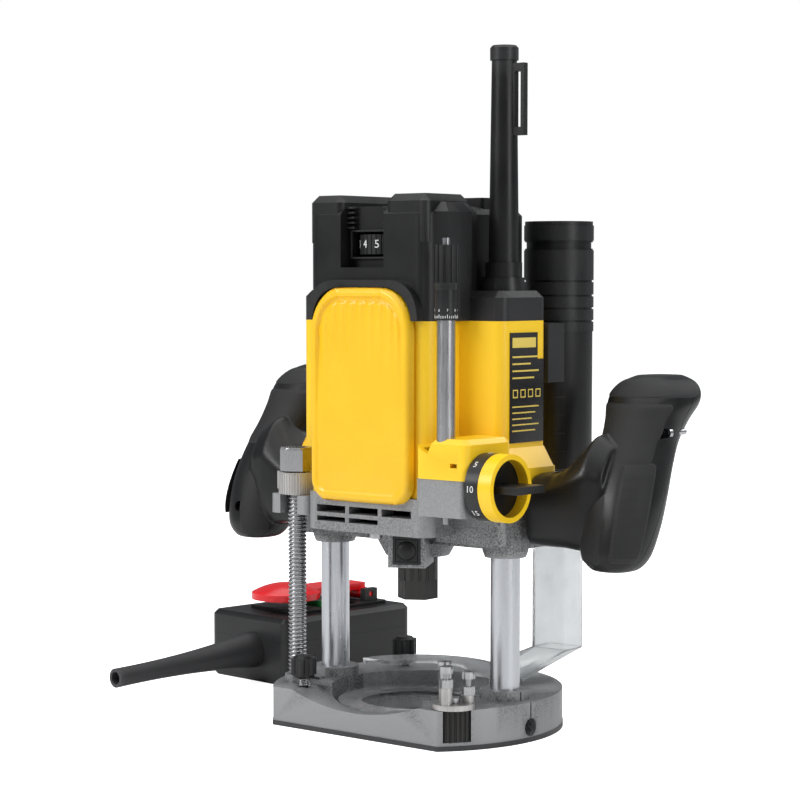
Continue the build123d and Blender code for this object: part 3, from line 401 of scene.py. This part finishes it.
def carved(mesh, *cutters, operation="DIFFERENCE"):
    """Boolean of a closed mesh with closed cutters, one after another."""
    for cutter in cutters:
        piece, tool = loose(mesh), loose(outward(cutter))
        cut = piece.modifiers.new("cut", "BOOLEAN")
        cut.object = tool
        cut.operation = operation
        cut.solver = "EXACT"
        mesh = settled(piece)
        bpy.data.objects.remove(tool)
    return mesh


def outward(mesh):
    """The mesh with all its faces turned outwards."""
    form = bmesh.new()
    form.from_mesh(mesh)
    bmesh.ops.recalc_face_normals(form, faces=form.faces)
    form.to_mesh(mesh)
    form.free()
    return mesh


def rod_mesh(name, start, end, radius, count=28):
    """Closed cylinder between two points in mm."""
    axis = (Vector(end) - Vector(start)).normalized()
    turn = axis.to_track_quat("Z", "Y")
    rings = []
    for centre in (start, end):
        rings.append([Vector(centre) + turn @ Vector((x, y, 0)) for x, y in circle(count, radius)])
    return skin(name, rings)


def smoothstep(value, low, high):
    t = min(1.0, max(0.0, (value - low) / (high - low)))
    return t * t * (3 - 2 * t)


# ---------------------------------------------------------------- handles
GRIP = [  # height, centre X, centre Y, half width, half depth, right-hand side in mm
    (106.5, 143.0, 8.0, 9.0, 10.0),
    (108.0, 143.0, 8.2, 13.5, 14.5),
    (113.0, 143.0, 9.0, 18.0, 18.5),
    (120.0, 143.2, 10.5, 20.5, 20.5),
    (134.0, 143.3, 15.0, 21.8, 22.8),
    (150.0, 142.6, 21.0, 22.2, 23.8),
    (168.0, 141.0, 30.0, 21.6, 23.8),
    (182.0, 139.3, 39.5, 21.2, 23.8),
    (194.0, 138.0, 49.0, 23.0, 25.5),
    (203.0, 137.0, 56.5, 25.6, 28.0),
    (210.0, 136.2, 61.0, 25.0, 27.4),
    (216.0, 135.6, 64.5, 20.5, 23.0),
    (220.0, 135.2, 66.5, 12.5, 14.5),
]
ARM = [  # X, centre Y, centre height, half depth, half height
    (88.3, 12.0, 140.0, 19.7, 21.8),
    (93.0, 12.0, 140.0, 19.9, 22.0),
    (103.0, 12.0, 140.5, 19.4, 22.5),
    (112.0, 12.0, 143.0, 19.4, 25.0),
    (120.0, 12.0, 147.0, 19.0, 30.0),
    (128.0, 12.0, 152.0, 18.0, 35.0),
    (140.0, 12.0, 150.0, 15.0, 30.0),
]
SEAM_Y, SEAM_Z, SEAM_RISE = 16.0, 130.0, 0.593
LEVER_Z = (122.0, 157.0)
LEVER_FACE, LEVER_SPACE = 161.2, 158.4


def spline_row(rows, t):
    """Catmull-Rom value of a table of rows at t, counted in rows."""
    i = min(int(t), len(rows) - 2)
    f = t - i
    before, a = rows[max(i - 1, 0)], rows[i]
    b, after = rows[i + 1], rows[min(i + 2, len(rows) - 1)]
    result = []
    for p, q, r, s in zip(before, a, b, after):
        result.append(0.5 * (2 * q + (r - p) * f + (2 * p - 5 * q + 4 * r - s) * f * f
                             + (3 * q - p - 3 * r + s) * f ** 3))
    return result


def grip_point(t, angle, proud=0.0):
    """Point on the leaning grip at a height, counted in table rows, and an angle round it."""
    z, x, y, a, b = spline_row(GRIP, t)
    power = 2 / 2.35
    c, s = math.cos(angle), math.sin(angle)
    return (x + math.copysign(abs(c) ** power, c) * (a + proud),
            y + math.copysign(abs(s) ** power, s) * (b + proud), z)


def grip_mesh():
    rings = []
    steps, around = 5, 72
    for i in range((len(GRIP) - 1) * steps + 1):
        rings.append([grip_point(i / steps, 2 * math.pi * j / around) for j in range(around)])
    return skin("grip", rings)


def arm_mesh():
    """Arm from the casting to the grip, a rounded box that swells into the grip."""
    rings = []
    around = 64
    for x, y, z, half_y, half_z in ARM:
        ring = []
        for j in range(around):
            angle = 2 * math.pi * j / around
            c, s = math.cos(angle), math.sin(angle)
            rise = math.copysign(abs(s) ** 0.5, s) * half_z
            lean = 0.45 * max(0.0, rise - 12)
            ring.append((x, y + lean + math.copysign(abs(c) ** 0.5, c) * half_y, z + rise))
        rings.append(ring)
    return skin("arm", rings)


def blended_handle():
    """Arm and grip grown together, with soft hollows where they meet."""
    draft = loose(joined_mesh("handle", [grip_mesh(), arm_mesh()]))
    remesh = draft.modifiers.new("one_skin", "REMESH")
    remesh.mode = "VOXEL"
    remesh.voxel_size = 1.25 * MM
    smooth = draft.modifiers.new("soft", "SMOOTH")
    smooth.factor = 0.5
    smooth.iterations = 9
    return settled(draft)


def seam_slice(x0, x1):
    """Thin leaning slice along the clamshell seam of a handle."""
    foot, top, half_gap = 95, 230, 0.25
    corners = ((foot, -half_gap), (top, -half_gap), (top, half_gap), (foot, half_gap))
    rings = []
    for x in (x0, x1):
        ring = []
        for z, side in corners:
            ring.append((x, SEAM_Y + (z - SEAM_Z) * SEAM_RISE + side, z))
        rings.append(ring)
    return skin("seam", rings)


def pad_mesh(name, t_range, angle_range, proud, ribs=0, rib_height=0.5, steps=(34, 40)):
    """Raised patch on the grip with rounded edges, ribbed across if asked."""
    t0, t1 = t_range
    a0, a1 = (math.radians(a) for a in angle_range)
    rows, columns = steps
    edge = 0.10
    buried = 1.2
    top, foot = [], []
    for i in range(rows + 1):
        u = i / rows
        for j in range(columns + 1):
            v = j / columns
            rim = min(smoothstep(u, 0, edge), smoothstep(1 - u, 0, edge),
                      smoothstep(v, 0, edge), smoothstep(1 - v, 0, edge))
            corner = (2 * u - 1) ** 6 + (2 * v - 1) ** 6
            squeeze = 1 - 0.10 * smoothstep(corner, 0.8, 2.0)
            wave = 0.5 + 0.5 * math.cos(2 * math.pi * ribs * u) if ribs else 0.0
            lift = proud * rim - rib_height * wave * rim
            t = (t0 + t1) / 2 + (u - 0.5) * (t1 - t0) * squeeze
            angle = (a0 + a1) / 2 + (v - 0.5) * (a1 - a0) * squeeze
            top.append(grip_point(t, angle, lift - 0.15 * (1 - rim)))
            foot.append(grip_point(t, angle, -buried))
    return sheet_solid(name, top, foot, rows, columns)


def sheet_solid(name, top, foot, rows, columns):
    """Closed solid between two grids of points in mm."""
    width = columns + 1
    shift = len(top)
    faces = []
    for i in range(rows):
        for j in range(columns):
            a = i * width + j
            faces.append((a, a + 1, a + 1 + width, a + width))
            faces.append((shift + a, shift + a + width, shift + a + 1 + width, shift + a + 1))
    rim = list(range(width))
    rim += [i * width + columns for i in range(1, rows + 1)]
    rim += [rows * width + j for j in range(columns - 1, -1, -1)]
    rim += [i * width for i in range(rows - 1, 0, -1)]
    for a, b in zip(rim, rim[1:] + rim[:1]):
        faces.append((b, a, shift + a, shift + b))
    mesh = bpy.data.meshes.new(name)
    mesh.from_pydata([tuple(c * MM for c in p) for p in top + foot], [], faces)
    mesh.validate()
    return outward(mesh)


def reflected(mesh):
    """The mesh mirrored to the left-hand side."""
    mesh = mesh.copy()
    mesh.transform(Matrix.Diagonal((-1, 1, 1, 1)))
    mesh.flip_normals()
    return mesh


def smooth_faces(mesh, angle=35):
    for polygon in mesh.polygons:
        polygon.use_smooth = True
    mesh.set_sharp_from_angle(angle=math.radians(angle))


SCREWS = {"right": ((158.0, 124.0), (158.0, 187.0)), "left": ((146.0, 128.0), (133.0, 186.0))}
WELL_RADIUS, WELL_FLOOR, WELL_START = 3.4, 8.0, -45.0


def screw_wells(side):
    """Wells that the clamshell screws sit in, from the front of the grip to near the seam."""
    wells = []
    for x, z in SCREWS[side]:
        seam = SEAM_Y + (z - SEAM_Z) * SEAM_RISE
        wells.append(rod_mesh("well", (x, WELL_START, z), (x, seam - WELL_FLOOR, z), WELL_RADIUS))
    return wells


def handles():
    """Both side handles: shell in two halves, rubber pads, ribbed palm pads and the lock lever."""
    whole = blended_handle()
    seam = seam_slice(80, 180)
    pocket = box_mesh("pocket", [(139.0, 153.0, 30, 75, 145.5, 170.5)])
    right = carved(whole.copy(), *screw_wells("right"), pocket, seam.copy())
    smooth_faces(right)
    new_piece("right_handle_shell", right, "black_plastic", "carriage",
              "right_handle_front", "right_handle_rear")
    gap = 1.4
    room = box_mesh("room", [(LEVER_SPACE, 200, -60, 90, LEVER_Z[0] - gap, LEVER_Z[1] + gap)])
    left = carved(whole.copy(), *screw_wells("left"), room, seam.copy())
    smooth_faces(left)
    new_piece("left_handle_shell", reflected(left), "black_plastic", "carriage",
              "left_handle_front", "left_handle_rear")
    flank = box_mesh("flank", [(LEVER_FACE, 200, -60, 90, LEVER_Z[0], LEVER_Z[1])])
    lever = carved(whole.copy(), flank, operation="INTERSECT")
    smooth_faces(lever)
    new_piece("plunge_lock_flap", reflected(lever), "grip_rubber", "plunge_lock")
    pads = {
        "palm_rubber": ((6.0, 9.2), (-150, -22), 0.5, 0),
        "heel_rubber": ((1.6, 5.4), (-152, -88), 0.5, 0),
        "palm_ribs": ((2.0, 6.2), (-74, -12), 0.9, 13),
        "crown_rubber": ((9.6, 11.4), (-160, 20), 0.4, 0),
    }
    for name, (t_range, angles, proud, ribs) in pads.items():
        mesh = pad_mesh(name, t_range, angles, proud, ribs)
        smooth_faces(mesh, 50)
        piece = new_piece("right_" + name, mesh, "grip_rubber", "carriage")
        if name != "palm_ribs":
            piece = new_piece("left_" + name, reflected(mesh), "grip_rubber", "carriage")


# ---------------------------------------------------------------- front panel
PANEL_HALF, PANEL_FOOT, PANEL_TOP = 39.5, 143.0, 273.0
PANEL_BACK, PANEL_FRONT = -52.1, -57.6


def panel_half_width(z):
    """Half width of the front panel at a height: straight sides, arched top, rounded feet."""
    arch, foot = 27.0, 13.0
    if z > PANEL_TOP - arch:
        rise = (z - PANEL_TOP + arch) / arch
        return PANEL_HALF - 24 + 24 * math.sqrt(max(0.0, 1 - rise * rise))
    if z < PANEL_FOOT + foot:
        drop = (PANEL_FOOT + foot - z) / foot
        return PANEL_HALF - foot + foot * math.sqrt(max(0.0, 1 - drop * drop))
    return PANEL_HALF


def panel_outline():
    """Points close together along the edge of the front panel, as (x, z)."""
    outline = []
    for i in range(241):
        z = PANEL_FOOT + (PANEL_TOP - PANEL_FOOT) * i / 240
        outline += [Vector((side * panel_half_width(z), z)) for side in (-1, 1)]
    for i in range(41):
        for z in (PANEL_TOP, PANEL_FOOT):
            outline.append(Vector(((i / 20 - 1) * panel_half_width(z), z)))
    return outline


def front_panel():
    """Front cover with a rolled rim, a sunk field and soft flutes below its arch."""
    rows, columns = 150, 96
    height = PANEL_TOP - PANEL_FOOT
    roll, lip = 3.6, 0.6
    sink, flute_rise, flute_pitch, crown_rise = 2.5, 1.1, 7.5, 0.4
    outline = panel_outline()
    top, foot = [], []
    depth = PANEL_BACK - PANEL_FRONT
    for i in range(rows + 1):
        v = i / rows
        z = PANEL_FOOT + height * (v - 0.06 * math.sin(2 * math.pi * v))
        half = panel_half_width(z)
        for j in range(columns + 1):
            u = 2 * j / columns - 1
            u = math.sin(u * math.pi / 2) * 0.6 + u * 0.4
            x = half * u
            edge = min((Vector((x, z)) - p).length for p in outline)
            rise = math.sqrt(max(0.0, 1 - (1 - min(edge / roll, 1)) ** 2))
            sunk = sink * smoothstep(edge, 5.0, 6.4) * (0.30 + 0.70 * smoothstep(z, 190, 245))
            flute = smoothstep(edge, 8.0, 10.0) * smoothstep(z, 212, 250)
            wave = abs(math.sin(math.pi * (x / flute_pitch + 3.5))) ** 0.6
            crown = (1 - u * u) * smoothstep(edge, 5, 20)
            y = PANEL_BACK - lip - (depth - lip) * rise + sunk
            top.append((x, y - flute_rise * flute * wave - crown_rise * crown, z))
            foot.append((x, PANEL_BACK, z))
    mesh = sheet_solid("front_cover", top, foot, rows, columns)
    smooth_faces(mesh, 60)
    new_piece("front_cover", mesh, "yellow_shell", "carriage", "front_panel")


# ---------------------------------------------------------------- threads and springs
def threaded_rod(name, x, y, z0, z1, outer, pitch, depth):
    """Upright rod with a real helical thread."""
    around, per_turn = 28, 8
    rings = []
    count = int((z1 - z0) / pitch * per_turn)
    for i in range(count + 1):
        z = z0 + (z1 - z0) * i / count
        ring = []
        for j in range(around):
            angle = 2 * math.pi * j / around
            phase = (z / pitch - j / around) % 1.0
            ridge = smoothstep(phase, 0.10, 0.32) - smoothstep(phase, 0.62, 0.84)
            radius = outer - depth * (1 - ridge)
            ring.append((x + radius * math.cos(angle), y + radius * math.sin(angle), z))
        rings.append(ring)
    return skin(name, rings)


def height_thread():
    low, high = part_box("height_spindle")
    x, y = (low.x + high.x) / 2 / MM, (low.y + high.y) / 2 / MM
    foot_end, top = 30.0, 157.2
    thread = threaded_rod("height_thread", x, y, foot_end, top, outer=5.8, pitch=2.5, depth=0.8)
    foot = rod_mesh("foot", (x, y, low.z / MM), (x, y, foot_end + 1), 4.0)
    mesh = joined_mesh("height_thread", [thread, foot])
    smooth_faces(mesh, 60)
    new_piece("height_thread", mesh, "steel", "depth_spindle", "height_spindle")


def helix(name, x, y, z0, z1, radius, wire, turns):
    """Coil spring of even pitch, with capped wire ends."""
    steps = int(turns * 28)
    rings = []
    for i in range(steps + 1):
        f = i / steps
        angle = 2 * math.pi * turns * f
        out = Vector((math.cos(angle), math.sin(angle), 0))
        centre = Vector((x, y, z0 + wire + (z1 - z0 - 2 * wire) * f)) + out * radius
        rings.append([centre + out * a + Vector((0, 0, b)) for a, b in circle(8, wire)])
    return skin(name, rings)


def clamp_springs():
    low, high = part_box("knob_springs")
    radius, wire, turns = 3.9, 0.5, 4
    x = (low.x + high.x) / 2 / MM
    ends = (low.y / MM + radius + wire, high.y / MM - radius - wire)
    coils = [helix("coil", x, y, low.z / MM, high.z / MM, radius, wire, turns) for y in ends]
    mesh = joined_mesh("clamp_springs", coils)
    smooth_faces(mesh, 60)
    new_piece("clamp_springs", mesh, "steel", "base", "knob_springs")


def return_springs():
    """Coils inside the columns, on a mesh of their own."""
    low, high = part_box("plunge_springs")
    radius, wire, turns = 4.6, 0.6, 46
    x = high.x / MM - radius - wire
    coils = [helix("coil", side * x, 0, low.z / MM, high.z / MM, radius, wire, turns)
             for side in (-1, 1)]
    mesh = joined_mesh("return_springs", coils)
    smooth_faces(mesh, 60)
    piece = new_piece("return_springs", mesh, "steel", "base", "plunge_springs")
    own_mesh(piece)


# ---------------------------------------------------------------- printed marks
def printed(name, text, size, place, right, up, body, look="white_print"):
    """Generic digits as thin raised print. Place is in mm; right and up are directions."""
    curve = bpy.data.curves.new(name, "FONT")
    curve.body = text
    curve.size = size * MM
    curve.align_x = "CENTER"
    curve.align_y = "CENTER"
    curve.extrude = 0.12 * MM
    curve.resolution_u = 3
    draft = bpy.data.objects.new(name, curve)
    bpy.context.scene.collection.objects.link(draft)
    mesh = settled(draft)
    across, along = Vector(right).normalized(), Vector(up).normalized()
    turn = Matrix((across, along, across.cross(along))).transposed().to_4x4()
    mesh.transform(Matrix.Translation(Vector(place) * MM) @ turn)
    piece = new_piece(name, mesh, look, body)
    return piece


def label_print():
    """Rating label: generic bars and empty squares in place of any wording."""
    low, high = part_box("rating_plate")
    back, front = high.x / MM, high.x / MM + 0.12
    margin, square, line = 2, 5.0, 0.7
    left, right, top = low.y / MM, high.y / MM, high.z / MM
    width = right - left - 2 * margin
    bars = [(back, front, left + margin, right - 8, top - 9, top - 3)]
    for i, share in enumerate((0.86, 0.62, 0.90, 0.74)):
        z = top - 14 - 4.2 * i
        bars.append((back, front, left + margin, left + margin + width * share, z - 1.0, z))
    for i in range(4):
        y = left + 2.5 + 7.6 * i
        z1, z0 = top - 34, top - 39
        bars.append((back, front, y, y + square, z0, z0 + line))
        bars.append((back, front, y, y + square, z1 - line, z1))
        bars.append((back, front, y, y + line, z0 + line, z1 - line))
        bars.append((back, front, y + square - line, y + square, z0 + line, z1 - line))
    for i in range(5):
        z = top - 44 - 3.6 * i
        share = 0.9 - 0.12 * (i % 3)
        bars.append((back, front, left + margin, left + margin + width * share, z - 0.8, z))
    piece = new_piece("label_bars", box_mesh("label_bars", bars), "label_print", "carriage")


def small_blocks(name, blocks):
    """One mesh of small boxes, each (placing matrix, size in mm)."""
    form = bmesh.new()
    for place, size in blocks:
        scale = Matrix.Diagonal((*(c * MM for c in size), 1))
        bmesh.ops.create_cube(form, size=1.0, matrix=place @ scale)
    mesh = bpy.data.meshes.new(name)
    form.to_mesh(mesh)
    form.free()
    return mesh


def shifted(x, y, z):
    """Matrix that moves by a distance in mm."""
    return Matrix.Translation((x * MM, y * MM, z * MM))


def dial_marks():
    """Fine teeth round the rim of the black depth ring, and its numbers."""
    low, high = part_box("depth_dial")
    cy, cz = (low.y + high.y) / 2 / MM, (low.z + high.z) / 2 / MM
    radius = (high.z - low.z) / 2 / MM
    teeth, length = 72, 1.6
    rim = shifted(high.x / MM - 0.2 - length / 2, cy, cz)
    lift = shifted(0, 0, radius - 0.28)
    blocks = []
    for i in range(teeth):
        turn = Matrix.Rotation(2 * math.pi * i / teeth, 4, "X")
        blocks.append((rim @ turn @ lift, (length, 0.9, 0.6)))
    piece = new_piece("dial_teeth", small_blocks("dial_lines", blocks), "black_plastic", "dial_ring")
    for i in range(8):
        angle = math.radians(-90 - 45 * (i - 1))
        out = Vector((0, math.sin(angle), math.cos(angle)))
        place = Vector((low.x / MM + 3.9, cy, cz)) + out * (radius - 0.05)
        upward = Vector((0, math.cos(angle), -math.sin(angle)))
        printed(f"dial_number_{i}", str(5 * (i + 1) % 40), 5.6, place, (1, 0, 0), upward, "dial_ring")


def lock_dome():
    """Round domed push face on the spindle-lock button."""
    low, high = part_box("lock_bezel")
    centre = (low + high) / 2 / MM
    out = Vector((0.5, -math.sqrt(0.75), 0.0))
    side, up = Vector((-out.y, out.x, 0)), Vector((0, 0, 1))
    rings = []
    for radius, lift in ((5.9, -1.6), (5.9, 2.4), (5.5, 3.2), (4.4, 3.9), (2.8, 4.4), (1.0, 4.6)):
        rings.append([centre + out * lift + side * x + up * y for x, y in circle(40, radius)])
    mesh = skin("lock_dome", rings)
    smooth_faces(mesh, 50)
    piece = new_piece("lock_dome", mesh, "black_plastic", "lock_button")


def speed_digits():
    """Digits 1 to 6 round the speed wheel."""
    low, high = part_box("speed_dial")
    cx, cy = (low.x + high.x) / 2 / MM, (low.y + high.y) / 2 / MM
    radius = (high.x - low.x) / 2 / MM
    height, step, in_window = 299.0, 32, 3.4
    for i in range(6):
        angle = math.radians(-90 + step * (i - in_window))
        out = Vector((math.cos(angle), math.sin(angle), 0))
        place = Vector((cx, cy, height)) + out * (radius + 0.05)
        printed(f"speed_digit_{i}", str(i + 1), 7.0, place, (-out.y, out.x, 0), (0, 0, 1), "speed_wheel")


def tube_ticks():
    """Short raised ticks down the front of the dust tube."""
    tube_x, tube_y, radius = 52, 77, 21.5
    top, pitch = 262, 11.5
    turn = Matrix.Rotation(math.radians(-52), 4, "Z")
    blocks = []
    for i in range(12):
        place = shifted(tube_x, tube_y, top - pitch * i) @ turn @ shifted(radius, 0, 0)
        blocks.append((place, (0.9, 6.5, 0.9)))
    mesh = small_blocks("tube_ticks", blocks)
    piece = new_piece("tube_ticks", mesh, "black_plastic", "carriage")
    soften(piece, 0.2)


def adjuster_scale():
    """Ring of fine lines and digits round the foot of the depth rod's adjuster."""
    low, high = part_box("rod_adjuster_knob")
    cx, cy, foot = (low.x + high.x) / 2 / MM, (low.y + high.y) / 2 / MM, low.z / MM
    lines, digits, radius = 32, 8, 6.62
    blocks = []
    for i in range(lines):
        turn = Matrix.Rotation(2 * math.pi * i / lines, 4, "Z")
        length = 2.2 if i % (lines // digits) == 0 else 1.4
        place = shifted(cx, cy, foot + 1.0 + length / 2) @ turn @ shifted(radius, 0, 0)
        blocks.append((place, (0.24, 0.35, length)))
    mesh = small_blocks("adjuster_lines", blocks)
    piece = new_piece("adjuster_lines", mesh, "white_print", "rod_adjuster")
    for i in range(digits):
        angle = 2 * math.pi * i / digits
        out = Vector((math.cos(angle), math.sin(angle), 0))
        place = Vector((cx, cy, foot + 5.6)) + out * radius
        printed(f"adjuster_digit_{i}", str(i), 2.2, place, (-out.y, out.x, 0), (0, 0, 1), "rod_adjuster")


def cap_louvres():
    """Short cooling ribs down both sides of the recess in the cap, and the frame of its window."""
    middle, wall = -3.0, -41.2
    ribs = []
    for i in range(5):
        z = 308.5 + 3.0 * i
        for x in (middle - 14.35, middle + 14.35):
            ribs.append((x - 2.85, x + 2.85, wall - 2.8, wall, z, z + 1.3))
    half_width, front = 15.6, wall - 1.4
    for z in (306.6, 290.2):
        ribs.append((middle - half_width, middle + half_width, front, wall, z, z + 1.2))
    for x in (middle - half_width, middle + half_width - 1.4):
        ribs.append((x, x + 1.4, front, wall, 291.0, 307.0))
    piece = new_piece("cap_louvres", box_mesh("cap_louvres", ribs), "black_plastic", "carriage")
    soften(piece, 0.3)


handles()
front_panel()
adjuster_scale()
cap_louvres()
height_thread()
clamp_springs()
return_springs()
label_print()
dial_marks()
lock_dome()
speed_digits()
tube_ticks()

# ---------------------------------------------------------------- studio
def floor():
    """Large plain pale floor."""
    mesh = bpy.data.meshes.new("floor")
    size = 9.0
    corners = [(-size, -size, 0), (size, -size, 0), (size, size, 0), (-size, size, 0)]
    mesh.from_pydata(corners, [], [(0, 1, 2, 3)])
    piece = bpy.data.objects.new("floor", mesh)
    bpy.context.scene.collection.objects.link(piece)
    mat, tree, shader, place = nodes_of("pale_floor")
    tone = ramp_of(tree, noise_of(tree, place, 6, 3), 0.3, 0.7, (0.86, 0.86, 0.86), (0.89, 0.89, 0.89))
    tree.links.new(tone, shader.inputs["Base Color"])
    shader.inputs["Roughness"].default_value = 0.65
    shader.inputs["Emission Color"].default_value = (1.0, 1.0, 1.0, 1)
    rays = tree.nodes.new("ShaderNodeLightPath")
    tree.links.new(range_of(tree, rays.outputs["Is Camera Ray"], 0.0, 0.86, 0.0, 1.0),
                   shader.inputs["Emission Strength"])
    mesh.materials.append(mat)


def lamp(name, place, target, size, power):
    """Square area light aimed at a point."""
    data = bpy.data.lights.new(name, "AREA")
    data.size = size
    data.energy = power
    light = bpy.data.objects.new(name, data)
    light.location = place
    light.rotation_mode = "QUATERNION"
    light.rotation_quaternion = (Vector(target) - Vector(place)).to_track_quat("-Z", "Y")
    bpy.context.scene.collection.objects.link(light)


def studio():
    """White behind the object, dim soft light from all round, and four lamps."""
    world = bpy.data.worlds.new("studio")
    world.use_nodes = True
    tree = world.node_tree
    back = tree.nodes["Background"]
    back.inputs["Color"].default_value = (1.0, 1.0, 1.0, 1)
    back.inputs["Strength"].default_value = 1.0
    dim = tree.nodes.new("ShaderNodeBackground")
    dim.inputs["Color"].default_value = (0.92, 0.96, 1.0, 1)
    dim.inputs["Strength"].default_value = 0.20
    rays = tree.nodes.new("ShaderNodeLightPath")
    blend = tree.nodes.new("ShaderNodeMixShader")
    tree.links.new(rays.outputs["Is Camera Ray"], blend.inputs["Fac"])
    tree.links.new(dim.outputs["Background"], blend.inputs[1])
    tree.links.new(back.outputs["Background"], blend.inputs[2])
    tree.links.new(blend.outputs["Shader"], tree.nodes["World Output"].inputs["Surface"])
    bpy.context.scene.world = world
    middle = (0.0, 0.0, 0.2)
    lamp("ceiling", (0.0, 0.0, 3.0), (0.0, 0.0, 0.0), 4.5, 115)
    lamp("key", (-0.9, -1.7, 1.2), middle, 0.8, 22)
    lamp("side", (1.9, -0.2, 0.7), middle, 0.7, 9)
    lamp("back", (0.6, 1.8, 1.3), middle, 0.9, 9)
    bpy.context.scene.view_settings.view_transform = "Standard"


def camera():
    """Long lens from the front right, a little above the object."""
    heading, pitch = math.radians(39.54), math.radians(3.85)
    data = bpy.data.cameras.new("camera")
    data.sensor_width = 36.0
    data.lens = 103.54
    data.shift_y = 0.0378
    data.clip_start = 0.05
    data.clip_end = 60.0
    piece = bpy.data.objects.new("camera", data)
    piece.location = (0.9018, -1.1099, 0.2802)
    level = math.cos(pitch)
    ahead = Vector((-math.sin(heading) * level, math.cos(heading) * level, -math.sin(pitch)))
    piece.rotation_mode = "QUATERNION"
    piece.rotation_quaternion = ahead.to_track_quat("-Z", "Y")
    bpy.context.scene.collection.objects.link(piece)
    bpy.context.scene.camera = piece


floor()
studio()
camera()
